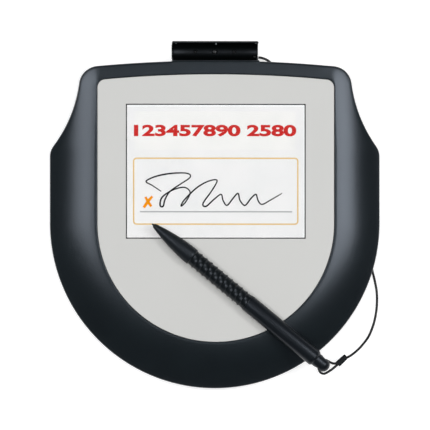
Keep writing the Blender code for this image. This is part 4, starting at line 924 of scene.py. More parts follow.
# %% The tray
BASE_TUCK = 0.003
BASE_STEP = 0.0003
BASE_ROUND = 0.0008
LIP_THICK = 0.0015
LIP_RISE = 0.0008
seam = PARTING_HEIGHT - CLEARANCE
lip = WALL + CLEARANCE
tray_steps = (
    (BASE_TUCK + BASE_ROUND, BASE_UNDER),
    (BASE_TUCK + BASE_ROUND * 0.35, BASE_UNDER + BASE_ROUND * 0.2),
    (BASE_TUCK, BASE_UNDER + BASE_ROUND * 0.7),
    (BASE_STEP, seam - CLEARANCE), (BASE_STEP * 1.5, seam), (lip, seam),
    (lip, PARTING_HEIGHT + LIP_RISE), (lip + LIP_THICK, PARTING_HEIGHT + LIP_RISE),
    (lip + LIP_THICK, FLOOR_TOP),
)
base_housing = through([whole(housing_half(inset), height) for inset, height in tray_steps])

# %% Seats and holes under the tray
FOOT_RADIUS = 0.006
FOOT_SEAT = 0.0008
SCREW_RADIUS = 0.0012
SCREW_HEAD_RADIUS = 0.0026
COUNTERBORE = 0.0012
BRACKET_HALF = 0.017
BRACKET_THICK = 0.0012
BRACKET_FRONT_Y = 0.0651106
SEAT_TOOL = 0.0035
BELOW = BASE_UNDER - 0.002
HOLE_SIDES = 24
SMALL_HOLE_SIDES = 20
FOOT_SIDES = 48


def both_sides(rows):
    """Named places on the left and on the right, from those on the right."""
    sides = (("left", -1), ("right", 1))
    return {f"{row}_{side}": (sign * x, y) for row, (x, y) in rows.items() for side, sign in sides}


FOOT_PLACES = both_sides({"rear": (0.058, 0.0611107), "front": (0.0580311, -0.0449436)})
SCREW_PLACES = both_sides({
    "rear": (0.060, 0.0751106), "side": (0.072, 0.0030893), "front": (0.0459517, -0.0589037)
})
for place in SCREW_PLACES.values():
    cut(base_housing, rod(SCREW_RADIUS + CLEARANCE, BELOW, FLOOR_TOP + CLEARANCE, place, HOLE_SIDES))
    cut(base_housing, rod(SCREW_HEAD_RADIUS + CLEARANCE, BELOW, BASE_UNDER + COUNTERBORE, place))
for place in FOOT_PLACES.values():
    cut(base_housing, rod(FOOT_RADIUS + CLEARANCE, BELOW, BASE_UNDER + FOOT_SEAT, place, FOOT_SIDES))
bracket_rear = TROUGH_Y + TROUGH_RADIUS
seat = box(
    (2 * (BRACKET_HALF + CLEARANCE), bracket_rear - BRACKET_FRONT_Y + CLEARANCE, SEAT_TOOL),
    (
        0, (bracket_rear + BRACKET_FRONT_Y - CLEARANCE) / 2,
        BASE_UNDER + BRACKET_THICK + CLEARANCE - SEAT_TOOL / 2,
    ),
)
cut(base_housing, seat)
cut(base_housing, trough_relief())
done("base_housing", housing_abs)

# %% [markdown]
# ## Panel, seal and glass
#
# The panel is a flat sheet let into the crown, with a window in it. Its edges are broken by a tiny
# bevel, and the one round the window catches a thin line of light. The glass stands in the window
# with a narrow groove round it, and the dark seal at the bottom of that groove is the thin line that
# frames the display.

# %% Panel
PANEL_UNDER = 0.0167
PANEL_BEVEL = 0.00012
GROOVE = 0.0006


def window_at(grow):
    """The panel's window, with a point for each point of its outline."""
    return window_half(panel_half(), GLASS_WIDTH / 2 + grow, GLASS_DEPTH / 2 + grow, WINDOW_Y)


panel_steps = [
    (window_at(GROOVE), PANEL_UNDER),
    (window_at(GROOVE), PANEL_TOP - PANEL_BEVEL),
    (window_at(GROOVE + PANEL_BEVEL), PANEL_TOP),
    (panel_half(-PANEL_BEVEL), PANEL_TOP),
    (panel_half(), PANEL_TOP - PANEL_BEVEL),
    (panel_half(), PANEL_UNDER),
]
through([whole(half, height) for half, height in panel_steps], joined=True)
done("front_panel", panel_abs)

# %% Seal
SEAL_UNDER = 0.0160
SEAL_FALL = 0.0003
GLASS_CORNER = 0.0005
QUARTER_STEPS = 4


def frame_ring(half_width, half_depth, corner, height, middle=WINDOW_MIDDLE):
    """A rectangle with round corners, about the window's middle unless another is given."""
    points = []
    for quarter, (side_x, side_y) in enumerate(((1, 1), (-1, 1), (-1, -1), (1, -1))):
        for step in range(QUARTER_STEPS + 1):
            turn = math.pi / 2 * (quarter + step / QUARTER_STEPS)
            points.append((
                side_x * (half_width - corner) + corner * math.cos(turn) + middle[0],
                side_y * (half_depth - corner) + corner * math.sin(turn) + middle[1],
                height,
            ))
    return points


def window_ring(grow, height):
    """The glass's rectangle, grown on all sides."""
    return frame_ring(GLASS_WIDTH / 2 + grow, GLASS_DEPTH / 2 + grow, GLASS_CORNER, height)


seal_steps = (
    (CELL_RIM, SEAL_UNDER), (CELL_RIM, DECK_TOP), (GROOVE, DECK_TOP),
    (CLEARANCE * 1.5, DECK_TOP - SEAL_FALL / 3), (CLEARANCE / 2, DECK_TOP - SEAL_FALL),
    (CLEARANCE / 2, SEAL_UNDER),
)
through([window_ring(*step) for step in seal_steps], joined=True)
done("window_gasket", seal_rubber)

# %% Glass
GLASS_BEVEL = 0.00015
glass_steps = (
    (-GLASS_BEVEL, SEAL_UNDER), (0, SEAL_UNDER + GLASS_BEVEL), (0, PANEL_TOP - GLASS_BEVEL),
    (-GLASS_BEVEL, PANEL_TOP),
)
through([window_ring(*step) for step in glass_steps])
done("writing_glass", hard_glass)

# %% [markdown]
# ## What the display shows
#
# A real display draws its picture in cells under the glass. Here each mark of the picture is a thin
# plate between the cell and the glass, so it stays sharp from any side: a white page, a row of bold
# red numbers, a tan box with round corners, a grey line to sign on, an orange cross and a stroke of
# the pen. The numbers are a text object that is turned into a mesh. The pen's stroke is a narrow
# strip along a smooth curve, thicker where the pen moves slowly.

# %% The page
PAGE_UNDER = 0.01574
PAGE_TOP = 0.01580
PAGE_BEVEL = 0.00001
FIRST_LAYER = PAGE_TOP + 0.00001
LAYER = 0.00004
GLASS_EDGE = 0.0001
PIXEL = 0.00057
PHOTO_MIDDLE = (215.7, 223.1)


def seen_at(right, down):
    """A place in the object's frame from a place in the picture, counted in its pixels."""
    return (right - PHOTO_MIDDLE[0]) * PIXEL, (PHOTO_MIDDLE[1] - down) * PIXEL + PAD_Y


def page_plate(name, left, top, right, bottom, look):
    """A thin plate on the page, from its edges in the picture."""
    x0, y0 = seen_at(left, top)
    x1, y1 = seen_at(right, bottom)
    middle = ((x0 + x1) / 2, (y0 + y1) / 2, FIRST_LAYER + LAYER / 4)
    box((x1 - x0, y0 - y1, LAYER / 2), middle, edge=LAYER / 8, segments=1)
    done(name, look)


box(
    (GLASS_WIDTH - 2 * GLASS_EDGE, GLASS_DEPTH - 2 * GLASS_EDGE, PAGE_TOP - PAGE_UNDER),
    (*WINDOW_MIDDLE, (PAGE_TOP + PAGE_UNDER) / 2),
    edge=PAGE_BEVEL,
    segments=1,
)
done("display_page", page_light)
# Two thin white strips on the page's top and right edges: a painted highlight of the glass's edge.
page_plate("page_top_edge_highlight", 127.2, 104.9, 303.6, 106.1, edge_highlight_light)
page_plate("page_right_edge_highlight", 303.6, 104.9, 304.7, 237.2, edge_highlight_light)
page_plate("page_field", 134.4, 111.0, 295.4, 149.6, field_light)

# %% The tan box, the line and the cross
BOX_SIDE = (132.8, 157.2, 298.6, 224.5)
BOX_CORNER = 0.0021
BOX_LINE = 0.0008
STROKE_SPACING = 0.0004


def rounded_frame(grow, height):
    """The tan box's outline, grown on all sides."""
    (x0, y0), (x1, y1) = seen_at(*BOX_SIDE[:2]), seen_at(*BOX_SIDE[2:])
    middle = ((x0 + x1) / 2, (y0 + y1) / 2)
    return frame_ring((x1 - x0) / 2 + grow, (y0 - y1) / 2 + grow, BOX_CORNER + grow, height, middle)


layer_high = FIRST_LAYER + LAYER / 2
frame_steps = ((0, FIRST_LAYER), (0, layer_high), (-BOX_LINE, layer_high), (-BOX_LINE, FIRST_LAYER))
through([rounded_frame(*step) for step in frame_steps], joined=True)
done("signing_box", tan_light)
page_plate("signing_line", 139.8, 210.7, 292.2, 212.1, grey_light)


def stroke(name, places, widths, look, layer):
    """A flat stroke through places in the picture. Its widths, in pixels, are spread evenly along it."""
    knots = [Vector((*seen_at(*place), 0)) for place in places]
    line = smooth_route(knots, STROKE_SPACING)[0]
    height = FIRST_LAYER + layer * LAYER
    flat_rings = []
    for order, point in enumerate(line):
        before, after = line[max(0, order - 1)], line[min(len(line) - 1, order + 1)]
        ahead = (after - before).normalized()
        aside = Vector((-ahead.y, ahead.x, 0))
        share = order / (len(line) - 1) * (len(widths) - 1)
        first = min(int(share), len(widths) - 2)
        half = (widths[first] + (widths[first + 1] - widths[first]) * (share - first)) * PIXEL / 2
        flat_rings.append([
            (*(point + aside * half * side).xy, height + rise * LAYER / 2)
            for side, rise in ((1, 0), (1, 1), (-1, 1), (-1, 0))
        ])
    through(flat_rings)
    done(name, look)


MARK_RISING = ((143.6, 207.3), (147.8, 201.2), (152.2, 196.0))
MARK_FALLING = ((145.2, 196.6), (148.0, 201.6), (151.2, 206.2))
stroke("mark_stroke_1", MARK_RISING, (2.7, 3.1, 2.3), orange_light, 1)
stroke("mark_stroke_2", MARK_FALLING, (2.1, 2.9, 2.5), orange_light, 2)

# %% The pen's stroke
FLOURISH = (
    (161, 191), (152, 185), (146, 181), (156, 176), (172, 173), (187, 173), (190, 177), (180, 184),
    (170, 191), (165, 199), (163, 206), (160, 205), (162, 197), (172, 190), (184, 187), (190, 192),
    (186, 201), (181, 206), (184, 200), (196, 188), (208, 181), (217, 180), (212, 190), (203, 203),
    (206, 206), (214, 199), (221, 194), (223, 200), (227, 205), (233, 198), (238, 193), (240, 200),
    (245, 205), (251, 198), (256, 194), (258, 200), (262, 204), (270, 200), (282, 193),
)
FLOURISH_WIDTHS = (
    1.0, 1.4, 1.7, 1.4, 1.3, 1.5, 1.7, 1.4, 1.3, 1.5, 1.6, 1.3, 1.4, 1.6, 1.3, 1.5, 1.4, 1.5, 1.3, 0.9,
)
stroke("pen_stroke", FLOURISH, FLOURISH_WIDTHS, ink_light, 2)

# %% The row of numbers
NUMBERS = "123457890 2580"
NUMBERS_AT = (133.8, 124.4, 296.4, 136.2)
BOLDNESS = 0.04
SHARP_EDGES = math.radians(20)
only()
bpy.ops.object.text_add()
text = bpy.context.object
text.data.body = NUMBERS
text.data.offset = BOLDNESS
text.data.extrude = 0.5
bpy.ops.object.convert(target="MESH")
numbers = bpy.context.object
bpy.ops.object.transform_apply(location=True, rotation=True, scale=True)
xs = [vert.co.x for vert in numbers.data.vertices]
ys = [vert.co.y for vert in numbers.data.vertices]
(left, high), (right, low) = seen_at(*NUMBERS_AT[:2]), seen_at(*NUMBERS_AT[2:])
numbers.scale = ((right - left) / (max(xs) - min(xs)), (high - low) / (max(ys) - min(ys)), LAYER / 2)
numbers.location = (
    left - min(xs) * numbers.scale.x, low - min(ys) * numbers.scale.y, FIRST_LAYER + LAYER * 1.25
)
edit()
bpy.ops.mesh.remove_doubles(threshold=0.0001)
done("number_row", red_light, smooth=SHARP_EDGES)

# %% [markdown]
# ## The trough
#
# The trough that holds the stylus is a moulded nylon channel. Its section is a round wall with a flat
# foot, drawn here as one ring and extruded along the length. The wall is a little thicker at both
# ends, which shows as a thin rim line, and the ends are rounded off. A screw sits in a sunk seat in
# the middle, and two holes beside it take the bracket's pins.

# %% The trough's section
TROUGH_INSIDE = 0.0051
TROUGH_FOOT_HALF = 0.0044
TROUGH_DROP = 0.0071
TROUGH_LIP = math.radians(25)
TROUGH_STEPS = 14
END_RIM = 0.0013
RIM_RISE = 0.0002
TROUGH_ENDS = (
    (0, 0.00045, 0.00025), (0.0001, 0.00028, 0.0001), (0.0003, 0.0001, 0), (0.0006, 0, 0),
    (END_RIM - 0.0002, 0, 0), (END_RIM, 0, RIM_RISE * 0.6), (END_RIM + 0.0002, 0, RIM_RISE),
)


def trough_ring(x, shrunk, opened):
    """The section at x, with its outer wall shrunk and its bore opened by small lengths."""
    outer, inner = TROUGH_RADIUS - shrunk, TROUGH_INSIDE + opened
    foot_angle = math.acos(TROUGH_FOOT_HALF / TROUGH_RADIUS)
    points = []
    for step in range(TROUGH_STEPS + 1):
        turn = TROUGH_LIP - (TROUGH_LIP + foot_angle) * step / TROUGH_STEPS
        points.append((outer * math.cos(turn), outer * math.sin(turn)))
    points.append((TROUGH_FOOT_HALF - shrunk, -TROUGH_DROP + shrunk / 2))
    points += [(-across, up) for across, up in reversed(points)]
    lip_middle, lip_half = (outer + inner) / 2, (outer - inner) / 2
    lip_points = []
    for turn in (math.pi / 4, math.pi / 2, math.pi * 3 / 4):
        reach, rise = lip_middle + lip_half * math.cos(turn), lip_half * math.sin(turn)
        lip_points.append((
            reach * math.cos(TROUGH_LIP) - rise * math.sin(TROUGH_LIP),
            reach * math.sin(TROUGH_LIP) + rise * math.cos(TROUGH_LIP),
        ))
    points += [(-across, up) for across, up in lip_points]
    for step in range(2 * TROUGH_STEPS + 1):
        turn = math.pi - TROUGH_LIP + (math.pi / 2 + TROUGH_LIP) * step / TROUGH_STEPS
        points.append((inner * math.cos(turn), inner * math.sin(turn)))
    points += reversed(lip_points)
    return [(x, TROUGH_Y + across, TROUGH_HEIGHT + up) for across, up in points]


# %% The channel with its seats and holes
HALF_TROUGH = TROUGH_LENGTH / 2
TROUGH_FLOOR = TROUGH_HEIGHT - TROUGH_INSIDE
PIN_X = 0.0111
PIN_RADIUS = 0.00075
HOLDER_SCREW_RADIUS = 0.0008
HOLDER_HEAD_RADIUS = 0.0013
HOLDER_SEAT = TROUGH_FLOOR - 0.0012
TROUGH_SMOOTH = math.radians(28)
GLAND_BORE = 0.0008
GLAND_RADIUS = 0.0011
GLAND_LENGTH = 0.003
GLAND_PLACE = (0.02315, 0.0901106, 0.0051)
ends = [trough_ring(-HALF_TROUGH + away, shrunk, opened) for away, shrunk, opened in TROUGH_ENDS]
ends += [trough_ring(HALF_TROUGH - away, shrunk, opened) for away, shrunk, opened in reversed(TROUGH_ENDS)]
pen_holder = through(ends)
middle = (0, TROUGH_Y)
cut(pen_holder, rod(HOLDER_HEAD_RADIUS + CLEARANCE, HOLDER_SEAT, TROUGH_HEIGHT, middle))
cut(pen_holder, rod(HOLDER_SCREW_RADIUS + CLEARANCE, BASE_UNDER, TROUGH_HEIGHT, middle, SMALL_HOLE_SIDES))
for x in (-PIN_X, PIN_X):
    cut(pen_holder, rod(PIN_RADIUS + CLEARANCE, BASE_UNDER, TROUGH_HEIGHT, (x, TROUGH_Y), HOLE_SIDES))
gland_hole = (HALF_TROUGH, *GLAND_PLACE[1:])
cut(pen_holder, along_x(GLAND_RADIUS + CLEARANCE, 2 * (GLAND_LENGTH + CLEARANCE), gland_hole, HOLE_SIDES))
done("pen_holder", trough_nylon, smooth=TROUGH_SMOOTH)

# %% Small pads on the trough's rear lip, pale as a painted glint
MARKS = ((-0.0225, 0.0007, 0.0006), (0.0004, 0.0008, 0.0012), (0.0231, 0.0007, 0.0006))
MARK_THICK = 0.0007
MARK_EDGE = 0.0002
marks_rear = TROUGH_Y + TROUGH_INSIDE * math.cos(TROUGH_LIP) + 2 * MARK_EDGE
marks_height = TROUGH_HEIGHT + TROUGH_INSIDE * math.sin(TROUGH_LIP) + MARK_EDGE
marks = [
    box((width, depth, MARK_THICK), (x, marks_rear - depth / 2, marks_height), MARK_EDGE, 3)
    for x, width, depth in MARKS
]
joined_to(*marks)
done("holder_lip_glints", lip_glint_nylon)

# %% Gland
GLAND_PROFILE = (
    (GLAND_BORE, 0.0015), (0.00095, 0.0015), (GLAND_RADIUS, 0.0013), (GLAND_RADIUS, -0.0011),
    (GLAND_BORE, -0.0011),
)
turned(GLAND_PROFILE, HOLE_SIDES)
bpy.context.object.matrix_world = Matrix.Translation(GLAND_PLACE) @ Matrix.Rotation(math.pi / 2, 4, "Y")
done("tether_gland", seal_rubber)

# %% [markdown]
# ## Screws and feet
#
# All screws are pan heads with a cross recess, in three sizes. Each size is turned by extruding and
# scaling a ring, its recess is cut with two crossed tapered blocks, and the finished screw is copied
# to its holes. The feet are turned the same way, with a groove round the sole, so that they grip.

# %% One screw
SCREW_HEAD = 0.0008
SCREW_SIDES = 28
SCREW_SMOOTH = math.radians(50)
POINT_SHARE = 0.6
THREAD_SHARE = 0.16
PITCH_SHARE = 0.75
CREST_AT = 0.3
ROOT_AT = 0.65
HEAD_RIM = 0.2
HEAD_DOME = 0.55
HEAD_STEPS = 5
SLOT_WIDE_SHARE = 0.24
SLOT_LONG_SHARE = 1.24
SLOT_FLOOR = 0.25
SLOT_TOOL = 1.1
SLOT_TAPER = 0.55


def cross_screw(radius, head_radius, head, length):
    """A pan head screw, its head's underside at zero and its shank along +Z."""
    slot_wide, slot_long = head_radius * SLOT_WIDE_SHARE, head_radius * SLOT_LONG_SHARE
    profile = [(radius * POINT_SHARE, length), (radius, length - radius * POINT_SHARE)]
    thread = radius * THREAD_SHARE
    pitch = radius * PITCH_SHARE
    turns = int((length - 2 * radius) / pitch)
    for count in range(turns):
        top = length - radius * 0.7 - count * pitch
        profile += [(radius, top - pitch * CREST_AT), (radius - thread, top - pitch * ROOT_AT)]
    profile += [(radius, radius * 0.4), (radius, 0), (head_radius * 0.94, 0), (head_radius, -head * HEAD_RIM)]
    for step in range(1, HEAD_STEPS + 1):
        turn = math.pi / 2 * step / HEAD_STEPS
        reach = head_radius * (1 - HEAD_DOME * (1 - math.cos(turn)))
        profile.append((reach, -head * (HEAD_RIM + (1 - HEAD_RIM) * math.sin(turn))))
    made = turned(profile, SCREW_SIDES)
    slot_end = (0, 0, -head * SLOT_FLOOR)
    for size in ((slot_long, slot_wide), (slot_wide, slot_long)):
        tool = box((*size, head * SLOT_TOOL), (0, 0, -head * (SLOT_FLOOR + SLOT_TOOL / 2)))
        edit(lambda face: face.normal.z > FACING)
        bpy.ops.transform.resize(value=(SLOT_TAPER, SLOT_TAPER, 1), center_override=slot_end)
        cut(made, tool)
    return made


# %% Screws in place
HOUSING_SCREW_LENGTH = 0.0085
BRACKET_SCREW_LENGTH = 0.0033
HOLDER_SCREW_HEAD = 0.001
HOLDER_SCREW_LENGTH = 0.0022
BRACKET_SCREWS = {"left": (-0.010, 0.0731106), "right": (0.010, 0.0731106)}


def set_screws(kind, places, height, model, finish, flip=0):
    """Puts copies of a screw at their places, head down, or turned over by flip, and takes the model away."""
    for row, place in places.items():
        copy_of(model)
        turned_over = Matrix.Rotation(flip, 4, "X")
        bpy.context.object.matrix_world = Matrix.Translation((*place, height)) @ turned_over
        done(kind + row, finish, smooth=SCREW_SMOOTH)
    bpy.data.objects.remove(model)


housing_screw = cross_screw(SCREW_RADIUS, SCREW_HEAD_RADIUS, SCREW_HEAD, HOUSING_SCREW_LENGTH)
screw_seat = BASE_UNDER + COUNTERBORE - CLEARANCE
set_screws("housing_screw_", SCREW_PLACES, screw_seat, housing_screw, zinc_steel)
bracket_screw = cross_screw(SCREW_RADIUS, SCREW_HEAD_RADIUS, SCREW_HEAD, BRACKET_SCREW_LENGTH)
bracket_seat = BASE_UNDER - CLEARANCE
set_screws("bracket_screw_", BRACKET_SCREWS, bracket_seat, bracket_screw, oxide_steel)
holder_screw = cross_screw(HOLDER_SCREW_RADIUS, HOLDER_HEAD_RADIUS, HOLDER_SCREW_HEAD, HOLDER_SCREW_LENGTH)
set_screws("holder_screw", {"": middle}, HOLDER_SEAT, holder_screw, grey_steel, flip=math.pi)

# %% Feet
FOOT_PROFILE = (
    (0.0050, 0.0027), (FOOT_RADIUS, 0.0027), (FOOT_RADIUS, 0.0008), (0.00585, 0.0004), (0.0055, 0.0001),
    (0.0052, 0), (0.0040, 0), (0.0038, 0.0001), (0.0036, 0.0004), (0.0032, 0.0004), (0.0030, 0.0001),
    (0.0028, 0), (0.0006, 0),
)
foot = turned(FOOT_PROFILE, FOOT_SIDES)
for row, (x, y) in FOOT_PLACES.items():
    copy_of(foot)
    bpy.context.object.location = (x, y, 0)
    done("foot_" + row, foot_rubber)
bpy.data.objects.remove(foot)

# %% [markdown]
# ## Bracket and data socket
#
# The bracket is a flat steel plate that carries the trough behind the housing. The data socket is a
# shell folded from thin nickel-plated sheet. Its mouth is inset and pushed in, as its real one is
# drawn, and a tongue with gold contacts stands in it.

# %% Bracket
BRACKET_CORNER = 0.0018
PIN_PROFILE = ((0.0005, TROUGH_FLOOR - CLEARANCE), (PIN_RADIUS, TROUGH_FLOOR - 0.00055), (PIN_RADIUS, 0.0030))
bracket_depth = TROUGH_Y + TROUGH_FOOT_HALF - BRACKET_FRONT_Y
plate = box(
    (2 * BRACKET_HALF, bracket_depth, BRACKET_THICK),
    (0, BRACKET_FRONT_Y + bracket_depth / 2, BASE_UNDER + BRACKET_THICK / 2),
)
round_edges_along(2, BRACKET_CORNER, 5)
cut(plate, rod(HOLDER_SCREW_RADIUS + CLEARANCE, BELOW, FLOOR_TOP, middle, SMALL_HOLE_SIDES))
for place in BRACKET_SCREWS.values():
    cut(plate, rod(SCREW_RADIUS + CLEARANCE, BELOW, FLOOR_TOP, place, HOLE_SIDES))
pins = []
for x in (-PIN_X, PIN_X):
    pins.append(turned(PIN_PROFILE, HOLE_SIDES))
    pins[-1].location = (x, TROUGH_Y, 0)
joined_to(plate, *pins)
done("holder_bracket", oxide_steel)

# %% Data socket
SHEET = 0.0003
SOCKET_CORNER = 0.0014
socket_middle = (SOCKET_X, SOCKET_MOUTH_Y - SOCKET_DEPTH / 2, SOCKET_LOW + SOCKET_HEIGHT / 2)
data_socket = box((SOCKET_WIDTH, SOCKET_DEPTH, SOCKET_HEIGHT), socket_middle)
round_edges_along(1, SOCKET_CORNER, 6)
edit(lambda face: face.normal.y > FACING)
bpy.ops.mesh.inset(thickness=SHEET, depth=0)
bpy.ops.mesh.extrude_region_move(TRANSFORM_OT_translate={"value": (0, -(SOCKET_DEPTH - SHEET), 0)})
only(data_socket)
done("data_socket", socket_nickel)

# %% Contacts on the tongue
CONTACTS = 8
CONTACT_PITCH = 0.0007
CONTACT_SIZE = (0.0004, 0.0045, 0.00006)
CONTACT_EDGE = 0.00001
TONGUE_HALF = 0.00035
contacts_y = SOCKET_MOUTH_Y - 0.0036
contacts_height = SOCKET_LOW + SOCKET_HEIGHT / 2 + TONGUE_HALF + CONTACT_SIZE[2] / 2
contacts = []
for count in range(CONTACTS):
    x = SOCKET_X + (count - (CONTACTS - 1) / 2) * CONTACT_PITCH
    contacts.append(box(CONTACT_SIZE, (x, contacts_y, contacts_height), CONTACT_EDGE, 1))
joined_to(*contacts)
done("socket_contacts", contact_gold)

# %% [markdown]
# ## The stylus
#
# The stylus is a nose, a ribbed rubber grip, a plain barrel and a round end cap. Each is turned on
# the stylus's own axis, from the nib's tip backwards, and laid down at the end. The nose swells like
# a bullet. The grip's ribs rise slowly on the side of the nose and drop sharply behind, with flat
# troughs between them, which gives the row of short glints along its middle. The hole across the end
# cap widens into round mouths, so that the loop can bend in them as the stylus swings.

# %% Sizes along the stylus
BARREL_RADIUS = 0.00493
NOSE_RADIUS = 0.00497
NOSE_START = 0.0014
NOSE_END = 0.0297
NOSE_MOUTH = 0.0011
NOSE_POWER = 0.86
NOSE_LIP = ((0.00098, 0.0001), (0.00104, 0.00002))
NOSE_FIRST = 0.02
NOSE_SPREAD = 1.6
NOSE_STEPS = 30
GRIP_END = 0.0707
BARREL_END = 0.1199
CAP_FRONT = 0.1200
CAP_END = 0.1303
CAP_RADIUS = 0.00395
NECK_LENGTH = 0.0016
EYELET_RADIUS = 0.001
MOUTH_RADIUS = 0.0029
MOUTH_START = 0.0024
SPIGOT = 0.0253
SPIGOT_RADIUS = 0.0033
BARREL_BORE = 0.0024
GRIP_BORE = 0.0036
FERRITE_START = 0.0105
CORE_RADIUS = 0.0024
NIB_RADIUS = 0.0008
NIB_HOLE = 0.00095
ROUND_SIDES = 64
EYELET_SIDES = 40


def lay_down(name, finish, body="stylus", smooth=EVENLY_SMOOTH):
    """Lays the active upright piece down on the stylus's axis and finishes it."""
    bpy.context.object.matrix_world = LAID_DOWN
    done(name, finish, body, smooth)


def nose_radius(away):
    """Radius of the nose at a distance behind its mouth."""
    share = away / (NOSE_END - NOSE_START)
    return NOSE_MOUTH + (NOSE_RADIUS - NOSE_MOUTH) * math.sin(math.pi / 2 * share) ** NOSE_POWER


# %% Nose
profile = [(radius, NOSE_START + away) for radius, away in NOSE_LIP]
for step in range(NOSE_STEPS + 1):
    share = NOSE_FIRST + (1 - NOSE_FIRST) * (step / NOSE_STEPS) ** NOSE_SPREAD
    away = (NOSE_END - NOSE_START) * share
    profile.append((nose_radius(away), NOSE_START + away))
profile[-1] = (NOSE_RADIUS - 0.0001, NOSE_END)
profile.insert(-1, (NOSE_RADIUS, NOSE_END - 0.00015))
profile += [
    (SPIGOT_RADIUS + CLEARANCE, NOSE_END), (SPIGOT_RADIUS + CLEARANCE, SPIGOT - CLEARANCE),
    (CORE_RADIUS, SPIGOT - CLEARANCE), (CORE_RADIUS, FERRITE_START - CLEARANCE),
    (NIB_HOLE, FERRITE_START - CLEARANCE), (NIB_HOLE, NOSE_START + 0.0002),
]
turned(profile, ROUND_SIDES, joined=True)
lay_down("stylus_nose", nose_abs)

# %% Nib
NIB_PROFILE = (
    (0.00012, 0), (0.00025, 0.00006), (0.00037, 0.0002), (0.0004, 0.0004), (NIB_RADIUS, 0.0016),
    (NIB_RADIUS, 0.0240),
)
turned(NIB_PROFILE)
lay_down("nib", nib_acetal, body="nib")

# %% Grip
GRIP_RIBS = 11
RIB_STEPS = 10
RIB_DEPTH = 0.00055
RIB_FALL_END = 0.2
RIB_RISE_START = 0.55
RIB_POWER = 1.2
GRIP_GAP = 0.00006
GRIP_SMOOTH = math.radians(60)


def rib_drop(share):
    """How far the grip lies below its ribs' tops, at a share of the way from one rib to the next."""
    if share < RIB_FALL_END:
        return math.sin(math.pi / 2 * share / RIB_FALL_END) ** RIB_POWER
    if share < RIB_RISE_START:
        return 1
    return math.cos(math.pi / 2 * (share - RIB_RISE_START) / (1 - RIB_RISE_START)) ** RIB_POWER


grip_front, grip_back = NOSE_END + GRIP_GAP, GRIP_END - GRIP_GAP
profile = []
for rib in range(GRIP_RIBS):
    for step in range(RIB_STEPS):
        share = step / RIB_STEPS
        along = grip_front + (grip_back - grip_front) * (rib + share) / GRIP_RIBS
        profile.append((BARREL_RADIUS - RIB_DEPTH * rib_drop(share), along))
profile += [(BARREL_RADIUS - 0.0002, grip_back), (GRIP_BORE, grip_back), (GRIP_BORE, grip_front)]
turned(profile, ROUND_SIDES, joined=True)
lay_down("stylus_grip", grip_rubber, smooth=GRIP_SMOOTH)

# %% Barrel
BARREL_EDGE = 0.00006
BARREL_PROFILE = (
    (SPIGOT_RADIUS, SPIGOT), (SPIGOT_RADIUS, GRIP_END), (BARREL_RADIUS - 0.0002, GRIP_END),
    (BARREL_RADIUS - BARREL_EDGE, GRIP_END + 0.00008), (BARREL_RADIUS, GRIP_END + 0.0003),
    (BARREL_RADIUS, BARREL_END - 0.0006), (BARREL_RADIUS - BARREL_EDGE / 3, BARREL_END - 0.00005),
    (BARREL_RADIUS - BARREL_EDGE, BARREL_END), (BARREL_BORE, BARREL_END), (BARREL_BORE, SPIGOT),
)
turned(BARREL_PROFILE, ROUND_SIDES, joined=True)
lay_down("stylus_barrel", stylus_abs)

# %% End cap
NECK_STEPS = 8
DOME_STEPS = 14
CAP_PLUG = 0.006
HOLE_EDGE = 0.00018
profile = [(BARREL_BORE - CLEARANCE, CAP_FRONT - CAP_PLUG), (BARREL_BORE - CLEARANCE, CAP_FRONT)]
for step in range(NECK_STEPS + 1):
    share = step / NECK_STEPS
    drawn = (BARREL_RADIUS - BARREL_EDGE - CAP_RADIUS) * (0.5 + 0.5 * math.cos(math.pi * share))
    profile.append((CAP_RADIUS + drawn, CAP_FRONT + NECK_LENGTH * share))
for step in range(DOME_STEPS):
    turn = math.pi / 2 * step / DOME_STEPS
    profile.append((CAP_RADIUS * math.cos(turn), CAP_END - CAP_RADIUS * (1 - math.sin(turn))))
stylus_end_cap = turned(profile, ROUND_SIDES)
mouth_reach = CAP_RADIUS + 0.0004
eyelet_profile = (
    (MOUTH_RADIUS, -mouth_reach), (EYELET_RADIUS, -MOUTH_START), (EYELET_RADIUS, MOUTH_START),
    (MOUTH_RADIUS, mouth_reach),
)
eyelet_tool = turned(eyelet_profile, EYELET_SIDES)
eyelet_tool.matrix_world = Matrix.Translation((0, 0, EYELET_FROM_TIP)) @ Matrix.Rotation(math.pi / 2, 4, "Y")
cut(stylus_end_cap, eyelet_tool)
edge_of_hole = stylus_end_cap.modifiers.new("broken edge", "BEVEL")
edge_of_hole.width = HOLE_EDGE
edge_of_hole.segments = 3
edge_of_hole.angle_limit = math.radians(50)
bpy.ops.object.modifier_apply(modifier=edge_of_hole.name)
lay_down("stylus_end_cap", stylus_abs)

# %% [markdown]
# ## Finishes for the CAD parts that stay
#
# The parts inside already have their right shapes, so they keep their CAD meshes and only get their
# materials. They show when the model is opened or a part is taken out.

# %% Materials on the kept nodes
KEPT = {
    display_mask: ("lcd_cell",),
    guide_acrylic: ("light_guide",),
    tray_steel: ("lcd_frame", "shield_plate"),
    board_green: ("sensor_board", "main_board", "stylus_board"),
    chip_epoxy: ("processor_chip", "memory_chip", "sensor_chip", "socket_tongue"),
    crystal_can: ("crystal",),
    ferrite: ("inductor", "ferrite_core"),
    connector_pbt: ("display_connector", "sensor_connector"),
    ribbon_film: ("display_ribbon", "sensor_ribbon"),
    zinc_steel: ("board_screw_1", "board_screw_2", "board_screw_3", "board_screw_4"),
    coil_copper: ("antenna_coil",),
    grip_rubber: ("pressure_pad",),
}
for finish, names in KEPT.items():
    for name in names:
        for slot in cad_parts[name].material_slots:
            slot.material = finish
print(sum(len(names) for names in KEPT.values()), "CAD nodes keep their shapes")

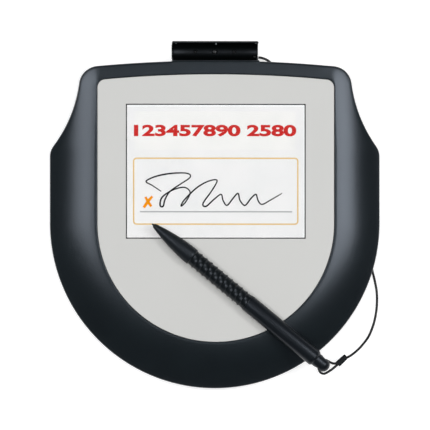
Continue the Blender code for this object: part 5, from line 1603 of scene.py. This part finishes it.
# %% [markdown]
# ## Floor and light
#
# The pad was photographed on white, so the floor is white for the camera and for reflections, and
# still takes the pad's shadow. Lamps and reflections are set apart. Three lamps light the pad: one
# on each side, about thirty degrees off the vertical, which throw the stylus's soft shadows, and a
# fill right above, so that a flat grey renders as written. They stay out of reflections and leave no
# glare on the glass. Two bright cards light nothing and are seen only in reflections. They put the
# pale bands on the sides of the bezel, the glints on the grip and the streak along the barrel, and
# leave the front of the bezel dark. A dim card behind lifts the top edge.

# %% Floor
FLOOR_SIZE = 6
FLOOR_TONE = (0.5, 0.5, 0.5, 1)
FLOOR_GLOW = 0.72
only()
bpy.ops.mesh.primitive_plane_add(size=FLOOR_SIZE, location=(0, 0, 0))
floor = bpy.context.object
floor.name = "floor"
floor_paint, tree, shader, where = start("white floor", Roughness=0.9)
tree.nodes.remove(shader)
matt = add(tree, "ShaderNodeBsdfDiffuse", {"Color": FLOOR_TONE})
glow = add(tree, "ShaderNodeEmission", {"Color": (1, 1, 1, 1), "Strength": FLOOR_GLOW})
path = add(tree, "ShaderNodeLightPath")
rays = {0: path.outputs["Is Camera Ray"], 1: path.outputs["Is Glossy Ray"]}
seen = add(tree, "ShaderNodeMath", rays, operation="MAXIMUM")
rays = {0: seen.outputs[0], 1: path.outputs["Is Transmission Ray"]}
seen = add(tree, "ShaderNodeMath", rays, operation="MAXIMUM")
both = add(tree, "ShaderNodeAddShader")
tree.links.new(matt.outputs["BSDF"], both.inputs[0])
tree.links.new(glow.outputs["Emission"], both.inputs[1])
floor_mix = add(tree, "ShaderNodeMixShader", {"Fac": seen.outputs[0]})
tree.links.new(matt.outputs["BSDF"], floor_mix.inputs[1])
tree.links.new(both.outputs["Shader"], floor_mix.inputs[2])
tree.links.new(floor_mix.outputs["Shader"], tree.nodes["Material Output"].inputs["Surface"])
floor.data.materials.append(floor_paint)

# %% Lamps
LAMP_DISTANCE = 1.5


def soft_box(name, azimuth, off_vertical, wide, tall, brightness):
    """A soft box in a direction from the pad, sized in degrees, with its brightness as radiance."""
    across, up = math.radians(azimuth), math.radians(off_vertical)
    direction = Vector((math.sin(up) * math.cos(across), math.sin(up) * math.sin(across), math.cos(up)))
    only()
    bpy.ops.object.light_add(type="AREA", location=direction * LAMP_DISTANCE)
    lamp = bpy.context.object
    lamp.name = name
    lamp.rotation_mode = "QUATERNION"
    lamp.rotation_quaternion = direction.to_track_quat("Z", "Y")
    lamp.data.shape = "RECTANGLE"
    lamp.data.size = 2 * LAMP_DISTANCE * math.tan(math.radians(wide / 2))
    lamp.data.size_y = 2 * LAMP_DISTANCE * math.tan(math.radians(tall / 2))
    lamp.data.energy = brightness * math.pi * lamp.data.size * lamp.data.size_y
    print(f"{name}: {lamp.data.energy:.1f} W")
    return lamp


for lamp in (
    soft_box("soft_box_right", 12, 31.5, 8, 14, 22.5),
    soft_box("soft_box_left", 166, 31, 10, 16, 15.5),
    soft_box("fill_above", 90, 1, 26, 26, 6.85),
):
    lamp.visible_glossy = False
    lamp.visible_transmission = False
for card in (
    soft_box("card_right", 11, 31, 25, 32, 6.5),
    soft_box("card_left", 164, 31.5, 22, 32, 5.5),
    soft_box("card_behind", 90, 8, 26, 10, 0.15),
):
    card.visible_diffuse = False
    card.visible_transmission = False

ROOM_LIGHT = 0.1
world = bpy.data.worlds.new("studio")
bpy.context.scene.world = world
world.use_nodes = True
background = world.node_tree.nodes["Background"]
background.inputs["Color"].default_value = linear("#f4f7ff")
background.inputs["Strength"].default_value = ROOM_LIGHT

# %% [markdown]
# ## Last step
#
# Everything is deselected. The dressed model may be only a little larger than the CAD model.

# %% Deselecting
only()
